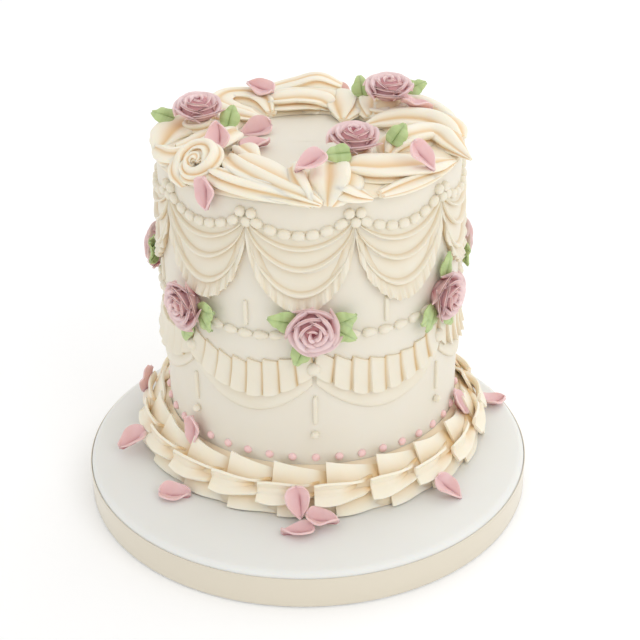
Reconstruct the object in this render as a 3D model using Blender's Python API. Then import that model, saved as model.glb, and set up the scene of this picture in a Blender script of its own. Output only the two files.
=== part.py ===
"""A tall single-tier celebration cake on its iced round board.

The sides carry piped swags, beads and pleated frills, a ring of large piped scrolls
tops the rim, a shingled frill closes the foot, and sugar roses, leaves and loose
petals are stuck on. Sizes are in millimetres and become metres in the meshes.
"""

import math

import bpy
import numpy as np
from mathutils import Matrix, Vector
from mathutils.bvhtree import BVHTree

MILLIMETRE = 0.001
GAP = 0.35

# Board
BOARD_RADIUS = 101.2
BOARD_HEIGHT = 16.9
BOARD_EDGE = 2.6
BOARD_SIDES = 54
RIBBON_INNER = BOARD_RADIUS + GAP
RIBBON_OUTER = 102.0
RIBBON_BOTTOM = 0.6
RIBBON_HEIGHT = 14.0

# Cake body, which stands a little behind the board's centre
CAKE_X = 2.5
CAKE_Y = 17.1
CAKE_BOTTOM = BOARD_HEIGHT + GAP
CAKE_TOP = 157.0
FOOT_RADIUS = 67.5
RIM_RADIUS = 66.0
RIM_EDGE = 2.5
CAKE_SIDES = 60

# Upper swags hang between these pins, by angle from the front, to the right
UPPER_PINS = (-60.0, -22.0, 15.5, 54.0, 94.0, 134.0, 174.0, 215.0, 257.0)
UPPER_PIN_HEIGHT = 150.5
UPPER_BEADS = 6
BEAD_CHAIN_DROP = 8.0
FIRST_STRING_DROP = 14.5
SECOND_STRING_DROP = 25.0
FRILL_TOP_DROP = 32.0
FRILL_DROP = 41.0
STRING_WIDTH = 2.0
STRING_HEIGHT = 1.5
FRILL_LIP = 2.9
SUNK = -0.9

# Lower swags hang between the side roses
ROSE_ANGLES = (-48.0, 1.0, 54.0, 105.5, 157.0, 208.5, 260.0)
ROSE_HEIGHT = 103.0
LOWER_BEADS = 7
CHAIN_ENDS = 101.0
CHAIN_MIDDLE = 97.0
PLEATS_PER_SWAG = 7
PLEAT_TOP_ENDS = 91.0
PLEAT_TOP_MIDDLE = 83.4
PLEAT_LOW_ENDS = 81.5
PLEAT_LOW_MIDDLE = 69.0
CRESCENT_ENDS = 76.0
CRESCENT_MIDDLE = 60.5
PIN_TOP = 112.0
PIN_LOW = 100.5
KNOB_HEIGHT = 82.8
KNOB_RADIUS = 3.2
DROP_TOP = 69.5
DROP_LOW = 55.3
PEARL_HEIGHT = 50.7
PEARL_RADIUS = 1.9

# Ring of dots round the foot, which dips to the right
DOTS = 42
DOT_START = 1.2
DOT_HEIGHT = 38.7
DOT_DIP = 1.2
DOT_RADIUS = 1.8

# Shingled frill at the foot
FRILL_FOLDS = 21
FRILL_START = -5.8
FRILL_INNER = 68.3
FRILL_BOTTOM = BOARD_HEIGHT + GAP
FRILL_TOP = 35.6

# Piped scrolls round the rim
SCROLLS = 10
SCROLL_START = -43.0
SCROLL_RADIUS = 50.0
ROPE_SIDES = 5
BORDER_SIDES = 36
BORDER_FLOOR = CAKE_TOP + GAP
SCROLL_FLOOR = CAKE_TOP + 0.7

# Sugar flowers
ROSE_RADIUS = 11.0
SIDE_ROSE_FOOT = ((6.0, 0.0), (6.4, 3.6))
RIM_ROSE_FOOT = ((8.6, 0.0),)
LEAF_LENGTH = 11.5
LEAF_WIDTH = 8.0
LEAF_REACH = 7.6
LEAF_LIFT = 3.8
PETAL_LENGTH = 14.0
PETAL_WIDTH = 12.0
DOWN = (0.0, 0.0, -1.0)

# Middles of the loose flowers: angle, radius, height, lean outwards and turn.
# Each is then let down to rest.
RIM_ROSES = {
    "left": (-96.0, 47.0, 175.0, 8.0, 10.0),
    "back": (128.0, 46.0, 175.0, -6.0, 40.0),
    "front": (36.0, 33.5, 170.0, -8.0, 70.0),
}
RIM_LEAVES = (
    (-97.0, 63.5, 175.0, 25.0, -90.0), (-93.0, 34.0, 175.0, -20.0, 90.0),
    (150.0, 48.0, 175.0, 0.0, 0.0), (128.0, 61.5, 175.0, 25.0, -90.0),
    (15.0, 45.0, 175.0, -5.0, 215.0), (59.0, 42.5, 175.0, -5.0, -15.0),
)
RIM_PETALS = (
    (-153.0, 49.0, 175.0, 0.0, 153.0), (-115.0, 25.5, 170.0, -18.0, 200.0), (-53.0, 46.5, 175.0, 5.0, 60.0),
    (-36.0, 90.0, 156.5, 84.0, -90.0), (-66.0, 25.5, 170.0, -14.0, 30.0), (1.0, 56.0, 175.0, 5.0, 179.0),
    (112.0, 51.5, 175.0, 8.0, -112.0), (43.0, 65.5, 175.0, 42.0, -75.0), (170.0, 85.0, 157.5, 62.0, 20.0),
    (205.0, 85.0, 153.5, 78.0, -70.0),
)
FOOT_PETALS = (
    (-100.0, 95.0, 30.0, 62.0, -80.0), (-71.5, 88.0, 35.0, 16.0, -80.0), (-43.0, 89.0, 35.0, 6.0, 40.0),
    (-48.5, 95.0, 39.5, 76.0, -80.0), (-4.5, 95.0, 26.5, 58.0, -80.0), (-4.0, 93.0, 35.0, 3.0, 184.0),
    (2.5, 87.5, 35.0, 10.0, -10.0), (42.0, 88.0, 35.0, 25.0, -75.0), (71.0, 95.0, 36.5, 60.0, -70.0),
    (95.0, 89.0, 35.0, 6.0, -60.0), (140.0, 95.0, 30.0, 60.0, -90.0), (180.0, 95.0, 31.0, 60.0, -75.0),
    (222.0, 95.0, 31.0, 60.0, -100.0),
)
LAPPED_PETALS = (FOOT_PETALS[5],)


def around(angle, radius, height):
    """World point at an angle (degrees from the front, to the right) about the cake's axis."""
    turn = np.radians(angle)
    radius = np.broadcast_to(radius, np.shape(turn))
    height = np.broadcast_to(height, np.shape(turn))
    x = CAKE_X + radius * np.sin(turn)
    y = CAKE_Y - radius * np.cos(turn)
    return np.stack([x, y, height], axis=-1)


def outward(angle):
    """Unit vector that points away from the cake's axis at an angle."""
    turn = np.radians(angle)
    return np.stack([np.sin(turn), -np.cos(turn), np.zeros_like(turn)], axis=-1)


def rightward(angle):
    """Unit vector along the cake's side, towards growing angles."""
    turn = np.radians(angle)
    return np.stack([np.cos(turn), np.sin(turn), np.zeros_like(turn)], axis=-1)


def wall_radius(height):
    """Radius of the slightly tapered wall of the cake."""
    share = (np.asarray(height) - CAKE_BOTTOM) / (CAKE_TOP - CAKE_BOTTOM)
    return FOOT_RADIUS + (RIM_RADIUS - FOOT_RADIUS) * share


def linear(hex_colour):
    """Linear RGBA of an sRGB hex colour."""
    parts = [int(hex_colour[i:i + 2], 16) / 255 for i in (0, 2, 4)]
    return [p / 12.92 if p <= 0.04045 else ((p + 0.055) / 1.055) ** 2.4 for p in parts] + [1.0]


def finish(name, hex_colour, roughness):
    """Principled material of one colour."""
    material = bpy.data.materials.new(name)
    material.use_nodes = True
    shader = material.node_tree.nodes["Principled BSDF"]
    shader.inputs["Base Color"].default_value = linear(hex_colour)
    shader.inputs["Roughness"].default_value = roughness
    shader.inputs["Metallic"].default_value = 0.0
    return material


def add_object(name, points, faces, material, collection=None):
    """Mesh object from points in millimetres, with its faces turned outwards."""
    mesh = bpy.data.meshes.new(name)
    points = np.asarray(points, float).reshape(-1, 3) * MILLIMETRE
    mesh.from_pydata(points.tolist(), [], [list(map(int, face)) for face in faces])
    mesh.validate()
    corners = points[np.array([t[:3] for t in fan(faces)])]
    if np.linalg.det(corners).sum() < 0:
        mesh.flip_normals()
    mesh.materials.append(material)
    mesh.shade_smooth()
    mesh.set_sharp_from_angle(angle=math.radians(40))
    piece = bpy.data.objects.new(name, mesh)
    (collection or bpy.context.scene.collection).objects.link(piece)
    return piece


def fan(faces):
    """Triangles that cover a list of faces."""
    return [(face[0], face[i], face[i + 1]) for face in faces for i in range(1, len(face) - 1)]


def tube_faces(rings, sides, closed=False):
    """Faces between rings of points, with both ends capped unless the rings close on themselves."""
    steps = rings if closed else rings - 1
    faces = []
    for ring in range(steps):
        start, after = ring * sides, (ring + 1) % rings * sides
        for side in range(sides):
            beside = (side + 1) % sides
            faces.append((start + side, start + beside, after + beside, after + side))
    if not closed:
        faces.append(tuple(reversed(range(sides))))
        faces.append(tuple((rings - 1) * sides + side for side in range(sides)))
    return faces


def turned(profile, sides):
    """Solid of revolution about the cake's axis; the profile closes on itself."""
    angles = np.arange(sides) * 360 / sides
    radius, height = np.array(profile, float).T
    points = around(np.repeat(angles, len(profile)), np.tile(radius, sides), np.tile(height, sides))
    return points, tube_faces(sides, len(profile), closed=True)


def lathe(profile, sides, centre):
    """Turned solid whose profile runs from the bottom on the axis to the top on the axis."""
    turn = np.arange(sides) * 2 * math.pi / sides
    rings = [np.stack([centre[0] + r * np.cos(turn), centre[1] + r * np.sin(turn), np.full(sides, z)], 1)
             for r, z in profile]
    return np.concatenate(rings), tube_faces(len(profile), sides)


def relief(angles, heights, lifts):
    """Solid laid on the cake's wall: heights and lifts by station, its outer levels sunk in the wall."""
    stations = np.repeat(angles, heights.shape[1]).reshape(heights.shape)
    points = around(stations, wall_radius(heights) + lifts, heights)
    return points, tube_faces(*heights.shape)


def swag(start, end, stations, reach=1.0):
    """Angles of a swag's stations and their place along it, -1 to 1."""
    place = np.linspace(-reach, reach, stations)
    return (start + end) / 2 + (end - start) / 2 * place, place


def drape(place, drop, ease):
    """Height of a hanging string: nearly a parabola, steeper by its pins."""
    return UPPER_PIN_HEIGHT - drop * (1 - ease * place**2 - (1 - ease) * place**14)


def between(upper, lower, share):
    """Height part of the way down from one level to the next."""
    return upper + (lower - upper) * share


def drape_relief(start, end):
    """Bead chain, two strings and the frill of one upper swag."""
    stations = 2 * UPPER_BEADS + 1
    angles, place = swag(start, end, stations, 0.97)
    chain = drape(place, BEAD_CHAIN_DROP, 0.9)
    first = drape(place, FIRST_STRING_DROP, 0.8)
    second = drape(place, SECOND_STRING_DROP, 0.66)
    frill = drape(place, FRILL_TOP_DROP, 0.6)
    low = drape(place, FRILL_DROP, 0.54)
    levels = [
        chain + 1.4, chain, between(chain, first, 0.4), first, between(first, second, 0.45),
        second, between(second, frill, 0.6), low, between(low, frill, 0.25),
    ]
    odd = np.arange(stations) % 2
    lip = FRILL_LIP * (1 - 0.35 * place**4) + 0.3 * odd
    lifts = [SUNK, 1.1 + 1.2 * odd, 0.35, STRING_HEIGHT, 0.3, STRING_HEIGHT, 0.4, lip, SUNK]
    return relief(angles, np.stack(levels, 1), np.stack([lift + 0 * place for lift in lifts], 1))


def pleat_relief(start, end):
    """Pleated frill of one lower swag, with the smooth crescent below it."""
    stations = 2 * PLEATS_PER_SWAG + 1
    angles, place = swag(start, end, stations, 0.95)
    top = between(PLEAT_TOP_MIDDLE, PLEAT_TOP_ENDS, place**2)
    low = between(PLEAT_LOW_MIDDLE, PLEAT_LOW_ENDS, place**2)
    crescent = between(CRESCENT_MIDDLE, CRESCENT_ENDS, place**2)
    lip = np.where(np.arange(stations) % 2 == 0, 1.3, 3.8)
    levels = [top, low, low - 0.4, crescent, crescent + 0.9]
    lifts = [SUNK, lip, 0.6, 1.7, SUNK]
    return relief(angles, np.stack(levels, 1), np.stack([lift + 0 * place for lift in lifts], 1))


def bead_chain(start, end):
    """Row of shell beads between two roses, piped in one rope that swells at each bead."""
    stations = 2 * LOWER_BEADS + 1
    angles, place = swag(start, end, stations, 0.7)
    middle = between(CHAIN_MIDDLE, CHAIN_ENDS, place**2)
    swell = np.where(np.arange(stations) % 2 == 1, 1.0, 0.45)
    levels = [middle + 1.8 * swell, middle, middle - 1.8 * swell]
    lifts = [SUNK, 2.3 * swell, SUNK]
    return relief(angles, np.stack(levels, 1), np.stack([lift + 0 * place for lift in lifts], 1))


def bead(angle, height, radius):
    """Five-sided button that stands out of the wall by nearly its radius."""
    turn = np.arange(5) * 2 * math.pi / 5 + 0.3
    rings = []
    for share, lift in ((1.0, SUNK), (0.62, 0.95 * radius)):
        centre = around(angle, wall_radius(height) + lift, height)
        sideways = share * radius * np.cos(turn)[:, None] * rightward(angle)
        upright = share * radius * np.sin(turn)[:, None] * np.array([0, 0, 1])
        rings.append(centre + sideways + upright)
    return np.stack(rings), tube_faces(2, 5)


def rod(angle, top, low):
    """Short upright string, three-cornered, its foot sunk in the wall."""
    half = math.degrees(STRING_WIDTH / 2 / FOOT_RADIUS)
    angles = angle + np.array([-half, 0.0, half])
    heights = np.array([[top] * 2, [top] * 2, [top] * 2], float)
    heights[:, 1] = low
    lifts = np.array([SUNK, STRING_HEIGHT, SUNK])
    rings = [around(angles, wall_radius(heights[:, n]) + lifts, heights[:, n]) for n in (0, 1)]
    return np.stack(rings), tube_faces(2, 3)


def join(target, pieces, material, solver):
    """Unites the pieces with the target and removes them."""
    group = bpy.data.collections.new(target.name + "_piping")
    bpy.context.scene.collection.children.link(group)
    for index, (points, faces) in enumerate(pieces):
        add_object(f"{target.name}_piping_{index}", points, faces, material, group)
    union = target.modifiers.new("piping", "BOOLEAN")
    union.operation = "UNION"
    union.operand_type = "COLLECTION"
    union.collection = group
    union.solver = solver
    bpy.context.view_layer.objects.active = target
    bpy.ops.object.modifier_apply(modifier=union.name)
    for piece in list(group.objects):
        bpy.data.objects.remove(piece)
    bpy.data.collections.remove(group)
    target.data.shade_smooth()
    target.data.set_sharp_from_angle(angle=math.radians(40))


def make_board(icing, satin):
    """Iced drum with a soft edge, and the satin ribbon round it."""
    ease = BOARD_EDGE * (1 - math.sqrt(0.5))
    profile = [
        (BOARD_RADIUS, 0.0),
        (BOARD_RADIUS, BOARD_HEIGHT - BOARD_EDGE),
        (BOARD_RADIUS - ease, BOARD_HEIGHT - ease),
        (BOARD_RADIUS - BOARD_EDGE, BOARD_HEIGHT),
    ]
    points, faces = lathe(profile, BOARD_SIDES, (0, 0))
    add_object("cake_board", points, faces, icing)
    top = RIBBON_BOTTOM + RIBBON_HEIGHT
    band = [
        (RIBBON_INNER, RIBBON_BOTTOM),
        (RIBBON_OUTER, RIBBON_BOTTOM),
        (RIBBON_OUTER, top),
        (RIBBON_INNER, top),
    ]
    points, _ = lathe(band, BOARD_SIDES, (0, 0))
    rings = points.reshape(len(band), BOARD_SIDES, 3).transpose(1, 0, 2)
    add_object("board_ribbon", rings, tube_faces(BOARD_SIDES, len(band), closed=True), satin)


def upper_piping():
    """Drapes between each two pins, with beads at the pins."""
    pins = UPPER_PINS + (UPPER_PINS[0] + 360,)
    pieces = [drape_relief(start, end) for start, end in zip(pins[:-1], pins[1:])]
    for pin in UPPER_PINS:
        pieces.append(bead(pin - 1.3, UPPER_PIN_HEIGHT + 0.4, 2.6))
        pieces.append(bead(pin + 2.1, UPPER_PIN_HEIGHT - 0.8, 2.2))
    return pieces


def lower_piping():
    """Bead chain, pleats and crescent between each two roses, with rods and pearls."""
    pieces = []
    points = ROSE_ANGLES + (ROSE_ANGLES[0] + 360,)
    for start, end in zip(points[:-1], points[1:]):
        pieces.append(bead_chain(start, end))
        pieces.append(pleat_relief(start, end))
        pieces.append(rod((start + end) / 2 + 0.2, PIN_TOP, PIN_LOW))
    for angle in ROSE_ANGLES:
        pieces.append(bead(angle, KNOB_HEIGHT, KNOB_RADIUS))
        pieces.append(rod(angle + 0.2, DROP_TOP, DROP_LOW))
        pieces.append(bead(angle, PEARL_HEIGHT, PEARL_RADIUS))
    return pieces


def dots():
    """Ring of round dots just above the frill."""
    angles = DOT_START + np.arange(DOTS) * 360 / DOTS
    heights = DOT_HEIGHT - DOT_DIP * np.sin(np.radians(angles))
    return [bead(angle, height, DOT_RADIUS) for angle, height in zip(angles, heights)]


def make_cake(icing):
    """Cake body with all of its piping joined on."""
    ease = RIM_EDGE * (1 - math.sqrt(0.5))
    profile = [
        (FOOT_RADIUS, CAKE_BOTTOM),
        (wall_radius(CAKE_TOP - RIM_EDGE), CAKE_TOP - RIM_EDGE),
        (RIM_RADIUS - ease, CAKE_TOP - ease),
        (RIM_RADIUS - RIM_EDGE, CAKE_TOP),
    ]
    points, faces = lathe(profile, CAKE_SIDES, (CAKE_X, CAKE_Y))
    cake = add_object("cake", points, faces, icing)
    join(cake, upper_piping() + lower_piping() + dots(), icing, "EXACT")


def make_foot_frill(icing):
    """Three shingled rows of folded flaps round the foot of the cake."""
    columns = 2 * FRILL_FOLDS
    angles = FRILL_START + np.arange(columns) * 360 / columns
    rows = (
        (80.6, 19.0, 0.0, 0), (83.4, 22.2, 3.4, 0), (78.6, 23.4, 0.0, 0), (80.0, 28.6, 3.2, 1),
        (74.6, 29.6, 0.0, 1), (75.2, FRILL_TOP, 2.8, 0), (FRILL_INNER, FRILL_TOP - 1.2, 0.0, 0),
    )
    rings = [around(angles, FRILL_INNER, FRILL_BOTTOM), around(angles, 80.0, FRILL_BOTTOM)]
    for radius, height, depth, shift in rows:
        pinch = (np.arange(columns) + shift) % 2 * depth
        rings.append(around(angles, radius - pinch, height - 0.6 * pinch))
    points = np.stack(rings, axis=1)
    add_object("foot_frill", points, tube_faces(columns, len(rings), closed=True), icing)


def scroll_path(index):
    """Centre line and half width of one scroll: a hook that opens outwards, then a tail to the right."""
    along = np.array([-4.0, -13.0, -12.0, 0.0, 10.0, 15.0, 24.0, 33.0])
    across = np.array([9.0, 4.0, -8.0, -12.0, -6.5, 5.0, 11.5, 12.5])
    width = np.array([3.0, 6.4, 7.4, 7.6, 7.6, 7.4, 5.6, 2.6])
    height = np.array([160.5, 161.8, 162.4, 162.4, 162.4, 162.0, 161.2, 160.4])
    if index == 2:
        across = across * 0.5 + 7.0
    angle = SCROLL_START + index * 360 / SCROLLS
    flat = around(angle, SCROLL_RADIUS, 0.0)
    points = flat + along[:, None] * rightward(angle) + across[:, None] * outward(angle)
    points[:, 2] = height
    from_axis = points[:, :2] - (CAKE_X, CAKE_Y)
    reach = np.linalg.norm(from_axis, axis=1)
    most = 69.0 - width
    points[:, :2] -= from_axis / reach[:, None] * np.maximum(reach - most, 0)[:, None]
    return points, width


def rope(points, width):
    """Five-sided rope along a path, flattened where it rests on the cake."""
    along = np.gradient(points, axis=0)
    along[:, 2] = 0
    along /= np.linalg.norm(along, axis=1, keepdims=True)
    across = np.cross(along, [0, 0, 1])
    turn = np.arange(ROPE_SIDES) * 2 * math.pi / ROPE_SIDES + math.pi / 10
    side = np.cos(turn)[None] * width[:, None]
    lift = np.sin(turn)[None] * np.minimum(width, 5.4)[:, None]
    rings = points[:, None] + across[:, None] * side[..., None]
    rings[..., 2] += lift
    rings[..., 2] = np.maximum(rings[..., 2], SCROLL_FLOOR)
    return rings, tube_faces(len(points), ROPE_SIDES)


def make_rim_border(icing):
    """Ring of piped scrolls that covers the cake's rim and hangs a little over it."""
    profile = [
        (34.0, BORDER_FLOOR), (65.4, BORDER_FLOOR), (67.3, 155.7), (68.7, 156.6),
        (68.7, 160.5), (64.0, 163.0), (38.0, 162.0),
    ]
    points, faces = turned(profile, BORDER_SIDES)
    border = add_object("rim_border", points, faces, icing)
    ropes = [rope(*scroll_path(index)) for index in range(SCROLLS)]
    join(border, ropes, icing, "EXACT")


def rose_mesh(foot):
    """Sugar rose about +Z on a foot of (radius, height) rows: rounded petals round a closed bud."""
    columns = 10
    turn = np.arange(columns) * 2 * math.pi / columns
    start = foot[-1][1]
    rows = [(radius, height, 0.0, 0.0) for radius, height in foot] + [
        (ROSE_RADIUS, start + 3.2, 0.7, 0.0), (8.4, start + 3.6, 0.3, 0.0), (8.0, start + 6.0, 0.6, 0.6),
        (5.0, start + 5.2, 0.2, 0.6), (3.8, start + 8.0, 0.4, 1.2),
    ]
    rings = []
    for radius, height, lobe, phase in rows:
        swell = np.cos(5 * turn + phase * 5)
        radii = radius + lobe * swell
        rings.append(np.stack([radii * np.cos(turn), radii * np.sin(turn), height + 0.6 * lobe * swell], 1))
    return np.concatenate(rings), tube_faces(len(rows), columns)


def frame_matrix(origin, right, up, out):
    """Placement whose local X, Y and Z are the given directions."""
    columns = [list(map(float, axis)) for axis in (right, up, out)]
    place = Matrix.Identity(4)
    for column, axis in enumerate(columns):
        for row in range(3):
            place[row][column] = axis[row]
    for row in range(3):
        place[row][3] = float(origin[row]) * MILLIMETRE
    return place


def side_frame(angle, height, lift):
    """Placement on the cake's wall: X to the right, Y up and Z outwards."""
    origin = around(angle, wall_radius(height) + lift, height)
    return frame_matrix(origin, rightward(angle), (0, 0, 1), outward(angle))


def tilted_frame(angle, radius, height, tilt, turn):
    """Placement whose Z leans outwards by a tilt from upright, turned about that Z."""
    lean = math.radians(tilt)
    out = outward(angle) * math.sin(lean) + np.array([0, 0, 1]) * math.cos(lean)
    slope = outward(angle) * math.cos(lean) - np.array([0, 0, 1]) * math.sin(lean)
    side = rightward(angle)
    spin = math.radians(turn)
    right = side * math.cos(spin) - slope * math.sin(spin)
    up = np.cross(out, right)
    return frame_matrix(around(angle, radius, height), right, up, out)


def blade(length, width, crease, curl, thickness):
    """Thin leaf or petal along +X: a crease down its middle, edges raised, tip curled."""
    stations = ((0.34, 0.84), (0.7, 0.8))
    middle = [(0.0, 0.0, 0.0)] + [(u * length, 0.0, curl * u * u - crease) for u, _ in stations]
    tip = [(length, 0.0, curl)]
    left = [(u * length, share * width / 2, curl * u * u + crease * 0.5) for u, share in stations]
    right = [(x, -y, z) for x, y, z in left]
    base, first, second, end, l1, l2, r1, r2 = range(8)
    points = np.array(middle + tip + left + right, float)
    front = [(base, first, l1), (first, second, l2), (first, l2, l1), (second, end, l2),
             (base, r1, first), (first, r2, second), (first, r1, r2), (second, r2, end)]
    points[[first, second], 2] += thickness / 2
    back_points = points[[first, second]] - (0, 0, thickness)
    swap = {first: 8, second: 9}
    back = [tuple(swap.get(corner, corner) for corner in reversed(face)) for face in front]
    return np.concatenate([points, back_points]), front + back


def placed(points, place):
    """Points in millimetres after a placement."""
    turn = np.array(place)[:3, :3]
    shift = np.array(place)[:3, 3] / MILLIMETRE
    return points @ turn.T + shift


def tree_of(piece):
    """Search tree and corner points of a piece, in metres, where it stands."""
    piece.data.calc_loop_triangles()
    corners = [piece.matrix_world @ corner.co for corner in piece.data.vertices]
    triangles = [tuple(face.vertices) for face in piece.data.loop_triangles]
    return BVHTree.FromPolygons(corners, triangles), corners


def touches(piece, support):
    """Whether two pieces cross or come nearer than half of the gap."""
    tree, corners = tree_of(piece)
    below, points = tree_of(support)
    reach = GAP * MILLIMETRE / 2
    if tree.overlap(below):
        return True
    if any(below.find_nearest(corner, reach)[0] is not None for corner in corners):
        return True
    return any(tree.find_nearest(point, reach)[0] is not None for point in points)


def slide(piece, step):
    """Moves a piece by a step in metres."""
    place = piece.matrix_world.copy()
    place.translation += step
    piece.matrix_world = place


def settle(piece, supports, direction):
    """Slides a piece along a direction until it rests on its supports, a hair clear of them."""
    tree, corners = tree_of(piece)
    middle = sum(corners, Vector()) / len(corners)
    nearby = 1.2 * max((corner - middle).length for corner in corners)
    ahead = Vector(direction).normalized()
    stand_off = ahead * 0.06
    room = []
    for support in supports:
        below, points = tree_of(support)
        for corner in corners:
            hit = below.ray_cast(corner - stand_off, ahead)[0]
            if hit is not None:
                room.append((hit - corner).dot(ahead))
        for point in points:
            across = point - middle
            if (across - ahead * across.dot(ahead)).length > nearby:
                continue
            hit = tree.ray_cast(point + stand_off, -ahead)[0]
            if hit is not None:
                room.append((point - hit).dot(ahead))
    slide(piece, ahead * (min(room) - GAP * MILLIMETRE))
    while any(touches(piece, support) for support in supports):
        slide(piece, -ahead * GAP * MILLIMETRE)


def make_roses(sugar):
    """Seven roses on the wall, which share one mesh, and three on the rim, which share another."""
    spots = [
        ("side_rose", number, side_frame(angle, ROSE_HEIGHT, GAP))
        for number, angle in enumerate(ROSE_ANGLES, 1)
    ]
    spots += [("rim_rose", name, tilted_frame(*spot)) for name, spot in RIM_ROSES.items()]
    feet = {"side_rose": SIDE_ROSE_FOOT, "rim_rose": RIM_ROSE_FOOT}
    supports = [bpy.data.objects["rim_border"], bpy.data.objects["cake"]]
    shared = {}
    for kind, name, place in spots:
        if kind in shared:
            rose = bpy.data.objects.new(f"{kind}_{name}", shared[kind])
            bpy.context.scene.collection.objects.link(rose)
        else:
            rose = add_object(f"{kind}_{name}", *rose_mesh(feet[kind]), sugar)
            shared[kind] = rose.data
        rose.matrix_world = place
        if kind == "rim_rose":
            settle(rose, supports, DOWN)


def leaf_shape(direction, reach, length):
    """Leaf in its rose's plane, its foot at a reach from the rose's axis."""
    points, faces = blade(length, LEAF_WIDTH, 0.2, -0.3, 0.4)
    turn = math.radians(direction)
    cosine, sine = math.cos(turn), math.sin(turn)
    spin = np.array([[cosine, sine, 0], [-sine, cosine, 0], [0, 0, 1]])
    return points @ spin + reach, faces


def make_leaves(sugar):
    """Leaves that slip under the rims of the roses, single or as touching pairs."""
    side_leaves = {
        1: ((17, -31), (260,)),
        2: ((30, -28), (165,), (246,)),
        3: ((196, 226), (80,), (-67,)),
        4: ((170, 215),),
        5: ((25, -30), (190,)),
        6: ((150, 200), (-20,)),
        7: ((-10, 40),),
    }
    for rose, clusters in side_leaves.items():
        place = side_frame(ROSE_ANGLES[rose - 1], ROSE_HEIGHT, GAP)
        for number, cluster in enumerate(clusters):
            heading = math.radians(sum(cluster) / len(cluster))
            across, upward = math.cos(heading) * LEAF_REACH, math.sin(heading) * LEAF_REACH
            foot = np.array([across, upward, LEAF_LIFT])
            shapes = [
                leaf_shape(direction, foot + np.array([0.31, 0.23, 0.12]) * order, LEAF_LENGTH - order)
                for order, direction in enumerate(cluster)
            ]
            points, faces = shapes[0]
            leaf = add_object(f"side_leaf_{rose}_{number + 1}", placed(points, place), faces, sugar)
            others = [(placed(points, place), faces) for points, faces in shapes[1:]]
            if others:
                join(leaf, others, sugar, "EXACT")


def make_rim_leaves(sugar):
    """Single leaves beside the roses on the rim."""
    points, faces = blade(LEAF_LENGTH - 1.5, LEAF_WIDTH, 0.6, 0.8, 0.6)
    points[:, 0] -= (LEAF_LENGTH - 1.5) / 2
    supports = [bpy.data.objects["rim_border"], bpy.data.objects["cake"]]
    for number, spot in enumerate(RIM_LEAVES):
        leaf = add_object(f"rim_leaf_{number + 1}", points, faces, sugar)
        leaf.matrix_world = tilted_frame(*spot)
        settle(leaf, supports, DOWN)


def make_petals(sugar):
    """Loose petals that rest on the border, the frill and the board."""
    points, faces = blade(PETAL_LENGTH, PETAL_WIDTH, 0.7, 1.0, 0.7)
    points[:, 0] -= PETAL_LENGTH / 2
    supports = [bpy.data.objects[name] for name in ("rim_border", "cake", "foot_frill", "cake_board")]
    for zone, spots in (("rim", RIM_PETALS), ("foot", FOOT_PETALS)):
        for number, spot in enumerate(spots):
            petal = add_object(f"{zone}_petal_{number + 1}", points, faces, sugar)
            petal.matrix_world = tilted_frame(*spot)
            steep = abs(spot[3]) > 50
            settle(petal, supports, -outward(spot[0]) if steep else DOWN)
            if spot in LAPPED_PETALS:
                supports.append(petal)


def main():
    """Clears the scene and builds every piece of the cake."""
    for piece in list(bpy.data.objects):
        bpy.data.objects.remove(piece)
    board_icing = finish("board_icing", "eeeeee", 0.55)
    satin = finish("satin_ribbon", "dcd3bf", 0.35)
    wall_icing = finish("wall_icing", "ece6da", 0.6)
    border_icing = finish("border_icing", "f2e6cc", 0.55)
    rose_sugar = finish("rose_sugar", "cf9a9c", 0.6)
    leaf_sugar = finish("leaf_sugar", "bcd598", 0.6)
    make_board(board_icing, satin)
    make_cake(wall_icing)
    make_foot_frill(border_icing)
    make_rim_border(border_icing)
    make_roses(rose_sugar)
    make_leaves(leaf_sugar)
    make_rim_leaves(leaf_sugar)
    make_petals(rose_sugar)


main()
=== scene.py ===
"""Looks of the tall single-tier celebration cake on its iced round board.

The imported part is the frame; every one of its nodes is dressed here with finer meshes and
with icing, sugar and satin finishes. Sizes are in millimetres until a mesh is made. Angles
about the cake are in degrees from the front, growing to the right.
"""

from __future__ import annotations

import logging
import math
from collections.abc import Sequence
from dataclasses import dataclass
from enum import Enum

import bpy
import numpy as np
from mathutils import Matrix, Vector
from mathutils.bvhtree import BVHTree

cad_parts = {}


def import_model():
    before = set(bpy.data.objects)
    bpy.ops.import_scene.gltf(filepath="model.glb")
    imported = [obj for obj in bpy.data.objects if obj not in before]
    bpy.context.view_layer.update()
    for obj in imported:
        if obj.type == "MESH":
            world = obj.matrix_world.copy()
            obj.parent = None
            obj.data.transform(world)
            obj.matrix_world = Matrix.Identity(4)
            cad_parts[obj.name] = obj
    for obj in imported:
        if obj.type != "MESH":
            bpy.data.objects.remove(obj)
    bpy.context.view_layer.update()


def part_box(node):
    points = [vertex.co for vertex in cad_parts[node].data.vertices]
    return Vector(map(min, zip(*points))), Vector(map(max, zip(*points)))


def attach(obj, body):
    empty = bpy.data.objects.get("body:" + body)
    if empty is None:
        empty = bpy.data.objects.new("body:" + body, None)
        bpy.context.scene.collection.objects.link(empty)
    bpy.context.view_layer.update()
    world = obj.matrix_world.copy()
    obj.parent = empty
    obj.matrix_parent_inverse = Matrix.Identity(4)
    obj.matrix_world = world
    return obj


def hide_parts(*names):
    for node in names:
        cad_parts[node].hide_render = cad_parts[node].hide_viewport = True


LOG = logging.getLogger("cake")
MILLIMETRE = 0.001
BODY = "root"

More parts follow.
